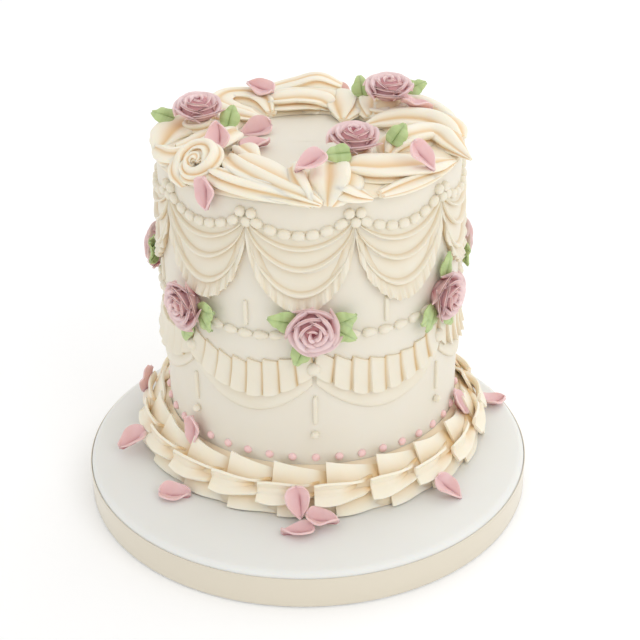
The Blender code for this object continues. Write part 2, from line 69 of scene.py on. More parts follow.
CAKE_AXIS = np.array([2.5, 17.1])
BOARD_TOP = 16.9
CAKE_BOTTOM = 17.25
CAKE_TOP = 157.0
FOOT_RADIUS = 67.5
RIM_RADIUS = 66.0
TOP_FLOOR = 157.15
RIM_FLOOR = 155.8
UPWARD = np.array([0.0, 0.0, 1.0])
DOWNWARD = (0.0, 0.0, -1.0)
RIDGE_SIDES = 10
CREST_SHARE = 0.78
THINNEST = 0.15
SHARP_DEGREES = 62.0
WEAVE_TILE_MM = 10.0
WAVE_PERIOD = 0.314


class Slot(Enum):
    """Names of material slots, one for each finish; no piece takes its finish from them here."""

    BOARD = "board_icing"
    RIBBON = "ribbon"
    WALL = "wall_icing"
    BORDER = "border_icing"
    ROSE = "rose_sugar"
    LEAF = "leaf_sugar"


# Places about the cake


def outward(angle: np.ndarray | float) -> np.ndarray:
    """Unit vector away from the cake's axis: sine and minus cosine of the angle.

    Args:
        angle: Degrees from the front, one or many.

    Returns:
        One vector for each angle.
    """
    turn = np.radians(angle)
    return np.stack([np.sin(turn), -np.cos(turn), np.zeros_like(turn)], axis=-1)


def rightward(angle: np.ndarray | float) -> np.ndarray:
    """Unit vector along the cake's side: the outward one, a quarter turn further on.

    Args:
        angle: Degrees from the front, one or many.

    Returns:
        One vector for each angle.
    """
    turn = np.radians(angle)
    return np.stack([np.cos(turn), np.sin(turn), np.zeros_like(turn)], axis=-1)


def around(angle: np.ndarray | float, radius: np.ndarray | float, height: np.ndarray | float) -> np.ndarray:
    """Points at an angle, radius and height about the cake's axis.

    Args:
        angle: Degrees from the front.
        radius: Distance from the axis.
        height: Height above the table.

    Returns:
        Points, of the shape that the three give together.
    """
    angle, radius, height = np.broadcast_arrays(*(np.asarray(v, float) for v in (angle, radius, height)))
    points = outward(angle) * radius[..., None]
    points[..., :2] += CAKE_AXIS
    points[..., 2] = height
    return points


def wall_radius(height: np.ndarray | float) -> np.ndarray:
    """Radius of the wall: it goes evenly from the foot's to the rim's as the height grows."""
    share = (np.asarray(height, float) - CAKE_BOTTOM) / (CAKE_TOP - CAKE_BOTTOM)
    return FOOT_RADIUS + (RIM_RADIUS - FOOT_RADIUS) * share


def on_wall(angle: np.ndarray | float, height: np.ndarray | float, lift: np.ndarray | float) -> np.ndarray:
    """Points that stand off the wall by a lift.

    Args:
        angle: Degrees from the front.
        height: Height above the table.
        lift: Distance out of the wall.

    Returns:
        Points about the cake.
    """
    return around(angle, wall_radius(height) + lift, height)


def ease(value: np.ndarray, start: float, end: float) -> np.ndarray:
    """Smooth step from 0 at the start to 1 at the end: three squares less two cubes."""
    share = np.clip((value - start) / (end - start), 0.0, 1.0)
    return share * share * (3 - 2 * share)


def between(low: float, high: float, share: np.ndarray) -> np.ndarray:
    """Value a share of the way from low to high."""
    return low + (high - low) * share


def smooth_line(knots: Sequence[Sequence[float]] | np.ndarray, count: int) -> np.ndarray:
    """Rows on a smooth curve through the knots, each coordinate a cubic between its neighbours.

    Args:
        knots: Rows that the curve passes through.
        count: How many rows to give back.

    Returns:
        Rows of as many coordinates as the knots have.
    """
    knots = np.asarray(knots, float)
    padded = np.concatenate([2 * knots[:1] - knots[1:2], knots, 2 * knots[-1:] - knots[-2:-1]])
    place = np.linspace(0, len(knots) - 1 - 1e-9, count)
    left = place.astype(int)
    share = (place - left)[:, None]
    before, start, end, after = (padded[left + step] for step in range(4))
    bend = 2 * before - 5 * start + 4 * end - after
    rise = 3 * start - before - 3 * end + after
    return start + 0.5 * share * ((end - before) + share * (bend + share * rise))


# Surfaces


@dataclass
class Surface:
    """Closed surface made of blocks of faces, with a painted shade of 0 to 1 at each point."""

    points: np.ndarray
    blocks: list[np.ndarray]
    shade: np.ndarray

    def moved(self, place: np.ndarray, shift: np.ndarray) -> Surface:
        """Copy whose points are turned by a matrix's rows and then shifted."""
        return Surface(self.points @ place.T + shift, self.blocks, self.shade)


def joined(surfaces: Sequence[Surface]) -> Surface:
    """One surface of several, whose points follow one another.

    Args:
        surfaces: Surfaces to put together.

    Returns:
        The surface that holds them all.
    """
    starts = np.cumsum([0] + [len(s.points) for s in surfaces[:-1]])
    blocks = [block + start for s, start in zip(surfaces, starts) for block in s.blocks]
    return Surface(
        np.concatenate([s.points for s in surfaces]), blocks, np.concatenate([s.shade for s in surfaces])
    )


def loft(rings: np.ndarray, shade: np.ndarray | float = 0.0, endless: bool = False) -> Surface:
    """Skin over a row of rings, each end closed by a fan to its middle unless the row meets itself.

    The skin's volume is the sum of its triangles' determinants, and where that is negative
    the faces are turned round, so that they point outwards.

    Args:
        rings: Points by ring, side and coordinate.
        shade: Painted shade by ring and side, or one for all.
        endless: Whether the last ring joins the first.

    Returns:
        The closed surface.
    """
    count, sides = rings.shape[:2]
    index = np.arange(count * sides).reshape(count, sides)
    index = np.concatenate([index, index[:, :1]], axis=1)
    if endless:
        index = np.concatenate([index, index[:1]])
    corners = [index[:-1, :-1], index[:-1, 1:], index[1:, 1:], index[1:, :-1]]
    quads = np.stack(corners, axis=-1).reshape(-1, 4)
    points = rings.reshape(-1, 3)
    shades = np.broadcast_to(np.asarray(shade, float), (count, sides)).reshape(-1)
    blocks = [quads]
    if not endless:
        first, last = index[0], index[-1]
        middle = count * sides
        near = np.stack([first[1:], first[:-1], np.full(sides, middle)], axis=-1)
        far = np.stack([last[:-1], last[1:], np.full(sides, middle + 1)], axis=-1)
        blocks += [near, far]
        points = np.concatenate([points, rings[:1].mean(axis=1), rings[-1:].mean(axis=1)])
        shades = np.concatenate([shades, [shades[:sides].mean(), shades[-sides:].mean()]])
    centred = points - points.mean(axis=0)
    triangles = [np.concatenate([quads[:, [0, 1, 2]], quads[:, [0, 2, 3]]]), *blocks[1:]]
    volume = sum(np.linalg.det(centred[block]).sum() for block in triangles)
    if volume < 0:
        blocks = [block[:, ::-1] for block in blocks]
    return Surface(points, blocks, shades)


def sheet(front: np.ndarray, thickness: np.ndarray | float, shade: np.ndarray | float = 0.0) -> Surface:
    """Thin closed sheet: the front grid, and behind it the same grid less thickness times its normal.

    Args:
        front: Points by row, column and coordinate.
        thickness: Distance between the two faces, one or by row and column.
        shade: Painted shade by row and column, or one for all.

    Returns:
        The closed surface.
    """
    across = np.gradient(front, axis=1)
    along = np.gradient(front, axis=0)
    normal = np.cross(across, along)
    normal /= np.maximum(np.linalg.norm(normal, axis=-1, keepdims=True), 1e-9)
    depth = np.broadcast_to(np.asarray(thickness, float), front.shape[:2])[..., None]
    back = front - normal * depth
    shades = np.broadcast_to(np.asarray(shade, float), front.shape[:2])
    rings = np.concatenate([front, back[:, ::-1]], axis=1)
    return loft(rings, np.concatenate([shades, shades[:, ::-1]], axis=1))


def relief(angles: np.ndarray, heights: np.ndarray, lifts: np.ndarray,
        shade: np.ndarray | float = 0.0) -> Surface:
    """Piping laid on the wall: one ring for each angle, its first and last level sunk in the wall.

    Args:
        angles: One angle for each station, or one by station and level.
        heights: Heights by station and level.
        lifts: Lifts off the wall by station and level.
        shade: Painted shade by station and level, or one for all.

    Returns:
        The closed surface.
    """
    if angles.ndim == 1:
        angles = angles[:, None]
    return loft(on_wall(angles, heights, lifts), shade)


def turned(profile: np.ndarray, sides: int, centre: np.ndarray, shade: np.ndarray | float = 0.0) -> Surface:
    """Closed surface of revolution whose profile rows are radius and height.

    Args:
        profile: Closed row of radius and height.
        sides: Stations round the axis.
        centre: Axis in plan.
        shade: One painted shade for each row of the profile, or one for all.

    Returns:
        The closed surface.
    """
    turn = np.arange(sides)[:, None] * 2 * math.pi / sides
    radius, height = profile[:, 0], profile[:, 1]
    x = centre[0] + radius * np.sin(turn)
    y = centre[1] - radius * np.cos(turn)
    return loft(np.stack([x, y, height + 0 * turn], axis=-1), shade, endless=True)


def ball(sides: int = 12, rings: int = 9, squareness: float = 1.0) -> Surface:
    """Unit ball about the origin, each part of a point raised to a power.

    Args:
        sides: Faces round the ball.
        rings: Rows from pole to pole.
        squareness: The power; under 1 it bulges towards a box.

    Returns:
        The closed ball.
    """
    polar = np.linspace(0.18, math.pi - 0.18, rings)[:, None]
    turn = np.arange(sides) * 2 * math.pi / sides
    level = np.sin(polar)
    rows = np.stack([level * np.cos(turn), level * np.sin(turn), np.cos(polar) + 0 * turn], axis=-1)
    return loft(np.sign(rows) * np.abs(rows) ** squareness)


def beads(base: Surface, centres: np.ndarray, axes: np.ndarray) -> Surface:
    """Copies of a base surface, one for each centre, stretched along three axes.

    Args:
        base: Surface about the origin.
        centres: One centre for each copy.
        axes: For each copy, the three vectors that the unit directions become.

    Returns:
        One surface of all the copies.
    """
    points = centres[:, None] + np.einsum("pa,nac->npc", base.points, axes)
    size = len(base.points)
    steps = np.arange(len(centres)) * size
    blocks = [(block[None] + steps[:, None, None]).reshape(-1, block.shape[1]) for block in base.blocks]
    return Surface(points.reshape(-1, 3), blocks, np.tile(base.shade, len(centres)))


def wall_beads(base: Surface, angles: np.ndarray, heights: np.ndarray, lift: float,
        size: tuple[float, float, float], lean: np.ndarray | float = 0.0) -> Surface:
    """Beads piped on the wall.

    Args:
        base: Surface of one bead about the origin.
        angles: Angle of each bead.
        heights: Height of each bead.
        lift: How far the middles stand off the wall.
        size: Half sizes along the wall, up it and out of it.
        lean: Slope of the run of beads, in degrees, one or for each bead.

    Returns:
        One surface of all the beads.
    """
    slope = np.radians(np.broadcast_to(lean, np.shape(angles)))[:, None]
    right = rightward(angles)
    along = right * np.cos(slope) + UPWARD * np.sin(slope)
    upright = UPWARD * np.cos(slope) - right * np.sin(slope)
    axes = np.stack([along * size[0], upright * size[1], outward(angles) * size[2]], axis=1)
    return beads(base, on_wall(angles, heights, lift), axes)


def piped(knots: Sequence[Sequence[float]] | np.ndarray, ridges: int, depth: float,
        count: int = 40, seed: float = 0.0) -> Surface:
    """Icing piped through a star nozzle along a smooth line.

    Round the section each ridge falls slowly from its crest and climbs quickly to the next, so
    that thin edges lap over smooth faces; the painted shade is 1 in a groove.
    and the place makes the ridges uneven, as a hand does.

    Args:
        knots: Rows of x, y, z, half width and half height.
        ridges: How many ridges the nozzle leaves.
        depth: Depth of the grooves as a share of the radius.
        count: Stations along the line.
        seed: Sets the unevenness apart.

    Returns:
        The closed surface.
    """
    line = smooth_line(knots, count)
    path = line[:, :3]
    wide = np.maximum(line[:, 3], THINNEST)
    high = np.maximum(line[:, 4], THINNEST)
    along = np.gradient(path, axis=0)
    along /= np.linalg.norm(along, axis=1, keepdims=True)
    across = np.cross(along, UPWARD)
    across /= np.maximum(np.linalg.norm(across, axis=1, keepdims=True), 1e-9)
    upright = np.cross(across, along)
    sides = ridges * RIDGE_SIDES
    angle = np.arange(sides) * 2 * math.pi / sides
    place = np.linspace(0, 1, count)[:, None]
    uneven = 0.30 * np.sin(angle + seed) + 0.14 * np.sin(2 * angle - 1.7 * seed + 2.5 * place)
    way = 1.0 if math.sin(2.4 * seed) > 0 else -1.0
    turn = (way * ridges * (angle + uneven) / (2 * math.pi) + 0.13 * seed) % 1.0
    rising = ease(turn, 0.0, CREST_SHARE)
    falling = 1 - ease(turn, CREST_SHARE, 1.0)
    groove = np.where(turn < CREST_SHARE, rising, falling)
    share = 1 - depth * groove**1.1 + 0.05 * np.sin(3 * angle + 2.3 * seed + 3 * place)
    side = (wide[:, None] * share * np.cos(angle))[..., None] * across[:, None]
    lift = (high[:, None] * share * np.sin(angle))[..., None] * upright[:, None]
    rings = path[:, None] + side + lift
    reach = np.linalg.norm(rings[..., :2] - CAKE_AXIS, axis=-1)
    rings[..., 2] = np.maximum(rings[..., 2], np.where(reach < RIM_RADIUS, TOP_FLOOR, RIM_FLOOR))
    # painted shade, strongest at the bottom of each groove
    return loft(rings, 0.85 * groove**3.4)


# Finishes


def linear(hex_colour: str) -> tuple[float, float, float, float]:
    """Linear red, green, blue and alpha of an sRGB hex colour, by the standard curve.

    Args:
        hex_colour: Six hex digits.

    Returns:
        The four parts, each from 0 to 1.
    """
    parts = [int(hex_colour[i:i + 2], 16) / 255 for i in (0, 2, 4)]
    red, green, blue = (p / 12.92 if p <= 0.04045 else ((p + 0.055) / 1.055) ** 2.4 for p in parts)
    return red, green, blue, 1.0


def add_node(tree: bpy.types.NodeTree, kind: str, settings: dict | None = None,
        links: dict | None = None) -> bpy.types.Node:
    """Adds a node with its settings and the links into it.

    Args:
        tree: Node tree of a material or world.
        kind: Type name of the node.
        settings: Property names or input names with their values.
        links: Input names or places with the output socket that feeds each.

    Returns:
        The new node.
    """
    node = tree.nodes.new(kind)
    for name, value in (settings or {}).items():
        if isinstance(name, str) and hasattr(node, name):
            setattr(node, name, value)
        else:
            node.inputs[name].default_value = value
    for name, socket in (links or {}).items():
        tree.links.new(socket, node.inputs[name])
    return node


def new_material(name: str) -> tuple[bpy.types.Material, bpy.types.NodeTree]:
    """Empty node material and its tree.

    Args:
        name: Name of the finish.

    Returns:
        The material and its node tree.
    """
    material = bpy.data.materials.new(name)
    material.use_nodes = True
    material.node_tree.nodes.clear()
    return material, material.node_tree


def metres(millimetres: float) -> float:
    """Length in metres."""
    return millimetres * MILLIMETRE


def per_metre(millimetres: float) -> float:
    """Noise scale whose features are this many millimetres wide."""
    return 1000.0 / millimetres


@dataclass(frozen=True)
class Icing:
    """Soft icing with a faint satin skin: pale on its ridges, and painted shade warm and deep in its
    grooves.

    The tips catch a soft light, and light that enters it blurs the edges of shadows.
    """

    name: str
    light: str
    # groove: the colour that painted shade darkens towards, in grooves, creases and hollows
    groove: str
    roughness: float
    scatter: float
    mottle: str
    mottle_mm: float = 16.0
    grain_mm: float = 0.9
    grain: float = 0.10

    def material(self) -> bpy.types.Material:
        """Material whose colour takes painted shade from the shade attribute, with broad mottling and a
        fine grain.

        Returns:
            The new material.
        """
        material, tree = new_material(self.name)
        place = add_node(tree, "ShaderNodeTexCoord").outputs["Object"]
        shade = add_node(tree, "ShaderNodeAttribute", {"attribute_name": "shade"}).outputs["Fac"]
        cloud = add_node(tree, "ShaderNodeTexNoise", {"Scale": per_metre(self.mottle_mm), "Detail": 3.0},
            {"Vector": place})
        span = add_node(tree, "ShaderNodeMapRange", {"From Min": 0.35, "From Max": 0.7, "To Max": 0.55},
            {"Value": cloud.outputs["Fac"]})
        base = add_node(tree, "ShaderNodeMix",
            {"data_type": "RGBA", 6: linear(self.light), 7: linear(self.mottle)},
            {0: span.outputs["Result"]})
        # painted shade: the shade attribute mixes the groove colour over the base, darkest in grooves and
        # creases
        colour = add_node(tree, "ShaderNodeMix", {"data_type": "RGBA", 7: linear(self.groove)},
            {0: shade, 6: base.outputs[2]})
        grain = add_node(tree, "ShaderNodeTexNoise", {"Scale": per_metre(self.grain_mm), "Detail": 2.0},
            {"Vector": place})
        bump = add_node(tree, "ShaderNodeBump", {"Strength": self.grain, "Distance": metres(0.25)},
            {"Height": grain.outputs["Fac"]})
        skin = add_node(tree, "ShaderNodeMapRange",
            {"To Min": self.roughness - 0.08, "To Max": self.roughness + 0.08},
            {"Value": cloud.outputs["Fac"]})
        settings = {
            "Subsurface Weight": self.scatter,
            "Subsurface Radius": (1.0, 0.75, 0.5),
            "Subsurface Scale": metres(1.6),
            "Specular IOR Level": 0.35,
        }
        links = {"Base Color": colour.outputs[2], "Roughness": skin.outputs["Result"],
            "Normal": bump.outputs["Normal"]}
        shader = add_node(tree, "ShaderNodeBsdfPrincipled", settings, links)
        add_node(tree, "ShaderNodeOutputMaterial", None, {"Surface": shader.outputs["BSDF"]})
        return material


@dataclass(frozen=True)
class SatinRibbon:
    """Woven polyester satin: smooth with a broad sheen, and a finely corded selvedge along both edges."""

    name: str = "satin_ribbon"
    colour: str = "ddd4c1"
    rib_mm: float = 0.55

    def material(self) -> bpy.types.Material:
        """Material whose fine upright threads roughen the sheen.

        Returns:
            The new material.
        """
        material, tree = new_material(self.name)
        # the wave node repeats after 0.314 of a unit at scale 1, and a unit of the map is a tile of 10 mm
        place = add_node(tree, "ShaderNodeUVMap", {"uv_map": "weave"}).outputs["UV"]
        scale = WAVE_PERIOD / self.rib_mm * WEAVE_TILE_MM
        cords = add_node(tree, "ShaderNodeTexWave",
            {"bands_direction": "X", "Scale": scale, "Distortion": 0.3, "Detail": 1.0},
            {"Vector": place})
        bump = add_node(tree, "ShaderNodeBump", {"Strength": 0.12, "Distance": metres(0.1)},
            {"Height": cords.outputs["Fac"]})
        settings = {
            "Base Color": linear(self.colour),
            "Roughness": 0.28,
            "Specular IOR Level": 0.8,
            "Sheen Weight": 0.2,
            "Sheen Roughness": 0.4,
        }
        shader = add_node(tree, "ShaderNodeBsdfPrincipled", settings, {"Normal": bump.outputs["Normal"]})
        add_node(tree, "ShaderNodeOutputMaterial", None, {"Surface": shader.outputs["BSDF"]})
        return material


# Rolled fondant, smoothed by hand: matt and nearly white, with a faint broad highlight
BOARD_ICING = Icing(
    "rolled_fondant_white", light="ebebe7", groove="dedad0", roughness=0.5, scatter=0.15,
    mottle="e7e7e2", mottle_mm=40.0, grain_mm=1.6, grain=0.05,
)
# Buttercream drawn smooth with a scraper: matt ivory, a little uneven in tone
WALL_ICING = Icing(
    "smoothed_buttercream_ivory", light="e8e2d4", groove="d2c2a0", roughness=0.55, scatter=0.2,
    mottle="e5ddcc", mottle_mm=30.0, grain_mm=1.2, grain=0.06,
)
# Royal icing from fine nozzles dries hard with crisp pale ridges; its warm groove colour is painted shade
# in the hollows
PIPED_IVORY = Icing(
    "piped_royal_icing_ivory", light="eae3d2", groove="d9ba88", roughness=0.5, scatter=0.2,
    mottle="e7dec9", mottle_mm=12.0, grain_mm=0.8, grain=0.06,
)
# Buttercream from large nozzles with a faint buttery gloss; its warm groove colour is painted shade in the
# folds
BORDER_CREAM = Icing(
    "piped_buttercream_cream", light="f5eedd", groove="e6bf86", roughness=0.48, scatter=0.3,
    mottle="f3ead4", mottle_mm=9.0, grain_mm=0.7, grain=0.08,
)
# Sugar paste rolled thin and dusty pink; painted shade deepens the pink in its folds and low on each petal,
# so the rims look pale
ROSE_PASTE = Icing(
    "sugar_paste_dusty_pink", light="fae0de", groove="b56a72", roughness=0.5, scatter=0.35,
    mottle="f4d2d0", mottle_mm=7.0, grain_mm=0.6, grain=0.08,
)
# Tinted royal icing in small domes, each with one soft highlight
DOT_PINK = Icing(
    "piped_royal_icing_pink", light="f2cdcb", groove="e0b0b0", roughness=0.5, scatter=0.25,
    mottle="eec6c4", mottle_mm=6.0, grain_mm=0.8, grain=0.05,
)
# Tinted royal icing leaves, pale green; painted shade makes them deeper green in the crease
LEAF_PASTE = Icing(
    "piped_royal_icing_leaf_green", light="c0d29a", groove="93ab6c", roughness=0.5, scatter=0.25,
    mottle="b6ca88", mottle_mm=5.0, grain_mm=0.6, grain=0.08,
)


# Pieces


def add_piece(name: str, surface: Surface, material: bpy.types.Material,
        nodes: Sequence[str]) -> bpy.types.Object:
    """Makes an object of a surface, and has it ride on the body and stand for the CAD nodes.

    Args:
        name: Name of the piece.
        surface: Its surface, in millimetres.
        material: Its finish.
        nodes: CAD nodes that it stands for.

    Returns:
        The new object.
    """
    mesh = bpy.data.meshes.new(name)
    faces = [row for block in surface.blocks for row in block.tolist()]
    mesh.from_pydata((surface.points * MILLIMETRE).tolist(), [], faces)
    # the shade attribute is painted shade: each finish darkens a point towards its groove colour by it
    layer = mesh.attributes.new("shade", "FLOAT", "POINT")
    layer.data.foreach_set("value", surface.shade.astype(np.float32))
    mesh.shade_smooth()
    mesh.set_sharp_from_angle(angle=math.radians(SHARP_DEGREES))
    mesh.materials.append(material)
    piece = bpy.data.objects.new(name, mesh)
    bpy.context.scene.collection.objects.link(piece)
    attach(piece, BODY)
    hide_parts(*nodes)
    LOG.info("%s: %d points", name, len(surface.points))
    return piece


@dataclass
class Board:
    """Iced drum with a soft edge, and the satin ribbon round it."""

    radius: float = 101.2
    edge: float = 3.2
    sides: int = 192
    ribbon_inner: float = 101.35
    ribbon_outer: float = 101.78
    ribbon_low: float = 0.6
    ribbon_high: float = 14.6

    def icing(self) -> Surface:
        """Turned profile: flat underside, upright side, a quarter round edge and a flat top.

        Returns:
            The closed surface.
        """
        turn = np.linspace(0, math.pi / 2, 9)
        edge = np.stack([self.radius - self.edge * (1 - np.cos(turn)),
            BOARD_TOP - self.edge * (1 - np.sin(turn))], axis=1)
        middle = [(self.radius - 8, BOARD_TOP), (60.0, BOARD_TOP), (0.01, BOARD_TOP), (0.01, 0.0),
            (self.radius - 1, 0.0), (self.radius, 0.5)]
        return turned(np.concatenate([edge, middle]), self.sides, np.zeros(2))

    def ribbon(self) -> Surface:
        """Turned band with a bead of selvedge along each edge.

        Returns:
            The closed surface.
        """
        low, high, out = self.ribbon_low, self.ribbon_high, self.ribbon_outer
        rows = [(self.ribbon_inner, low), (out - 0.1, low), (out, low + 0.25), (out - 0.14, low + 0.7),
            (out - 0.12, low + 1.0)]
        rows += [(out - 0.1, high - 1.0), (out - 0.14, high - 0.7), (out, high - 0.25), (out - 0.1, high),
            (self.ribbon_inner, high)]
        return turned(np.array(rows), self.sides, np.zeros(2))

    def build(self) -> None:
        """Adds the board and its ribbon."""
        add_piece("board_icing", self.icing(), BOARD_ICING.material(), ["cake_board"])
        band = add_piece("satin_ribbon", self.ribbon(), SatinRibbon().material(),
            ["board_ribbon"])
        weave = band.data.uv_layers.new(name="weave")
        corner = np.zeros(len(band.data.loops), np.int32)
        band.data.loops.foreach_get("vertex_index", corner)
        points = np.zeros(len(band.data.vertices) * 3)
        band.data.vertices.foreach_get("co", points)
        x, y, z = points.reshape(-1, 3)[corner].T
        turn = np.arctan2(x, -y)
        girth = turn * self.radius / WEAVE_TILE_MM
        cloth = np.stack([girth, z / metres(WEAVE_TILE_MM)], axis=1)
        weave.data.foreach_set("uv", cloth.astype(np.float32).ravel())


@dataclass
class CakeBody:
    """Smooth upright wall with an eased rim, its surface a little uneven from the scraper."""

    edge: float = 2.5
    sides: int = 180
    waver: float = 0.12

    def build(self) -> None:
        """Adds the wall and top; the radius wavers by the sum of two slow sines of angle and height."""
        heights = np.linspace(CAKE_BOTTOM, CAKE_TOP - self.edge, 44)
        turn = np.linspace(0, math.pi / 2, 7)[1:]
        wall = np.stack([wall_radius(heights), heights], axis=1)
        rim = np.stack([RIM_RADIUS - self.edge * (1 - np.cos(turn)),
            CAKE_TOP - self.edge * (1 - np.sin(turn))], axis=1)
        top = [(54.0, CAKE_TOP), (40.0, CAKE_TOP), (26.0, CAKE_TOP), (12.0, CAKE_TOP), (0.01, CAKE_TOP),
            (0.01, CAKE_BOTTOM)]
        profile = np.concatenate([wall, rim, top])
        angle = np.arange(self.sides)[:, None] * 360 / self.sides
        radius, height = profile[:, 0], profile[:, 1]
        slow = np.sin(np.radians(3 * angle) + height / 19)
        quick = np.sin(np.radians(5 * angle) - height / 11)
        waver = self.waver * slow + self.waver * quick
        dimple = 0.25 * waver * (radius < 60) * (height > CAKE_TOP - 1)
        on_side = (height < CAKE_TOP - self.edge) * (radius > 60)
        points = around(angle, radius + waver * on_side, height + dimple)
        add_piece("cake_wall", loft(points, endless=True), WALL_ICING.material(), ["cake"])


@dataclass
class UpperSwags:
    """Strings of beads, overpiped drapes and a crinkled frill that hang below the rim."""

    pins: tuple[float, ...] = (-60.0, -22.0, 15.5, 54.0, 94.0, 134.0, 174.0, 215.0, 257.0)
    pin_height: float = 150.5
    chain_drop: float = 8.0
    beads_per_chain: int = 7
    drapes: tuple[tuple[float, float, float, float], ...] = (
        (136.0, 148.6, 0.85, 2.3), (127.0, 146.6, 0.80, 2.5), (115.5, 144.0, 0.74, 2.4),
    )
    frill: tuple[float, float, float] = (109.5, 140.8, 0.70)
    frill_width: float = 6.4
    frill_lift: float = 2.8
    crinkles_mm: float = 4.2
    bead_lift: float = 0.5
    bead_size: tuple[float, float, float] = (2.75, 2.05, 1.7)
    knot_lift: float = 0.7
    knot_size: tuple[float, float, float] = (2.2, 2.2, 1.9)
    stations: int = 121

    def curve(self, place: np.ndarray, low: float, end: float, power_share: float) -> np.ndarray:
        """Height of a drape: low, plus the rise times a sum of the place's square and twelfth power."""
        return low + (end - low) * (power_share * place**2 + (1 - power_share) * place**12)

    def span(self, start: float, end: float, reach: float = 1.0) -> tuple[np.ndarray, np.ndarray]:
        """Angles of the stations between two pins and their place, minus one to one."""
        place = np.linspace(-reach, reach, self.stations)
        return between(start, end, (place + 1) / 2), place

    def drape(self, start: float, end: float, layer: int) -> Surface:
        """One soft skirt: it swells slowly from the drape above to a rolled lower edge.

        Args:
            start: Angle of the pin at its left.
            end: Angle of the pin at its right.
            layer: Its place, counted from the top.

        Returns:
            The closed surface.
        """
        low, rise, power_share, lift = self.drapes[layer]
        angles, place = self.span(start, end)
        bottom = self.curve(place, low, rise, power_share)
        above = self.drapes[layer - 1] if layer else (low + 8.0, rise + 1.5, 0.88, 0.0)
        top = self.curve(place, *above[:3]) + 0.4
        fade = 1 - 0.55 * np.abs(place) ** 5
        share = np.array([0.0, 0.0, 0.3, 0.55, 0.72, 0.78, 0.81, 0.85, 0.9, 0.95, 0.99, 1.0, 0.985, 0.985])
        rise_share = np.array(
            [-0.5, 0.02, 0.1, 0.15, 0.17, 0.22, 0.6, 0.92, 1.0, 0.92, 0.6, 0.2, 0.0, -0.5]
        )
        # painted shade by level: at the top edge, in the fold halfway down and under the rolled lower edge
        painted_shade_by_level = np.array([0.4, 0.3, 0.05, 0.0, 0.1, 0.5, 0.12, 0.0, 0.0, 0.0, 0.1, 0.6, 0.9, 0.9])
        heights = top[:, None] + (bottom - top)[:, None] * share
        lifts = lift * fade[:, None] * rise_share
        return relief(angles, heights, lifts, painted_shade_by_level)

    def ruffle(self, start: float, end: float, number: int) -> Surface:
        """Crinkled band: its edge stands off and waves in and out and up and down, most at the edge.

        Args:
            start: Angle of the pin at its left.
            end: Angle of the pin at its right.
            number: Sets its crinkles apart.

        Returns:
            The closed surface.
        """
        low, rise, power_share = self.frill
        angles, place = self.span(start, end)
        arc = np.radians(angles) * RIM_RADIUS
        wave = 2 * math.pi * arc / self.crinkles_mm
        ripple = np.sin(wave + 0.9 * np.sin(wave / 2.7 + number))
        bottom = self.curve(place, low, rise, power_share)
        slope = np.gradient(bottom) / np.gradient(arc)
        width = self.frill_width * np.sqrt(1 + np.minimum(slope**2, 5.0)) * (1 - 0.45 * place**8)
        share = np.array([0.0, 0.0, 0.3, 0.6, 0.85, 1.0, 1.0, 0.85, 0.85])
        rise_share = np.array([-0.5, 0.1, 0.3, 0.6, 0.88, 1.0, 0.72, 0.3, -0.4])
        spread = np.array([0.0, 0.0, 0.15, 0.45, 0.8, 1.0, 1.0, 0.5, 0.0])
        # painted shade by level: where it meets the wall and under its standing edge
        painted_shade_by_level = np.array([0.7, 0.5, 0.12, 0.0, 0.0, 0.0, 0.25, 0.7, 0.9])
        fade = (1 - 0.4 * np.abs(place) ** 6)[:, None]
        jag = np.sin(2.3 * wave + 1.1 * number) * np.sin(0.61 * wave)
        heights = (
            bottom[:, None] + width[:, None] * (1 - share)
            + (0.6 * ripple + 0.4 * jag)[:, None] * spread
        )
        lifts = fade * (self.frill_lift * rise_share + (0.6 * ripple + 0.25 * jag)[:, None] * spread)
        # more painted shade in the deepest troughs of the crinkles
        shade = painted_shade_by_level + 0.25 * (ripple[:, None] < -0.6) * spread
        return relief(angles, heights, lifts, np.clip(shade, 0, 1))

    def chain(self, start: float, end: float) -> Surface:
        """Beads along a shallow curve, each turned to its slope.

        Args:
            start: Angle of the pin at its left.
            end: Angle of the pin at its right.

        Returns:
            The beads.
        """
        place = np.linspace(-0.77, 0.77, self.beads_per_chain)
        angles = between(start, end, (place + 1) / 2) - 0.4
        heights = self.pin_height - self.chain_drop * (1 - 0.92 * place**2)
        half = np.radians(end - start) / 2 * RIM_RADIUS
        lean = np.degrees(np.arctan(2 * self.chain_drop * 0.92 * place / half))
        return wall_beads(ball(12, 9, 0.82), angles, heights, self.bead_lift, self.bead_size, lean)

    def knot(self, pin: float) -> Surface:
        """Three round beads at a pin: two side by side and one below.

        Args:
            pin: Angle of the pin.

        Returns:
            The three beads.
        """
        angles = pin + np.array([-1.9, 2.2, 0.3])
        heights = self.pin_height + np.array([0.6, 0.3, -3.4])
        return wall_beads(ball(12, 9, 0.9), angles, heights, self.knot_lift, self.knot_size)

    def build(self) -> None:
        """Adds the drapes, the ruffles and the beads, each as one piece."""
        ends = self.pins + (self.pins[0] + 360,)
        gaps = list(zip(ends[:-1], ends[1:]))
        icing = PIPED_IVORY.material()
        drapes = joined([self.drape(*gap, layer) for gap in gaps for layer in range(len(self.drapes))])
        ruffles = joined([self.ruffle(*gap, number) for number, gap in enumerate(gaps)])
        strung = joined([self.chain(*gap) for gap in gaps] + [self.knot(pin) for pin in self.pins])
        add_piece("upper_drapes", drapes, icing, ["cake"])
        add_piece("upper_frill", ruffles, icing, ["cake"])
        add_piece("upper_beads", strung, icing, ["cake"])


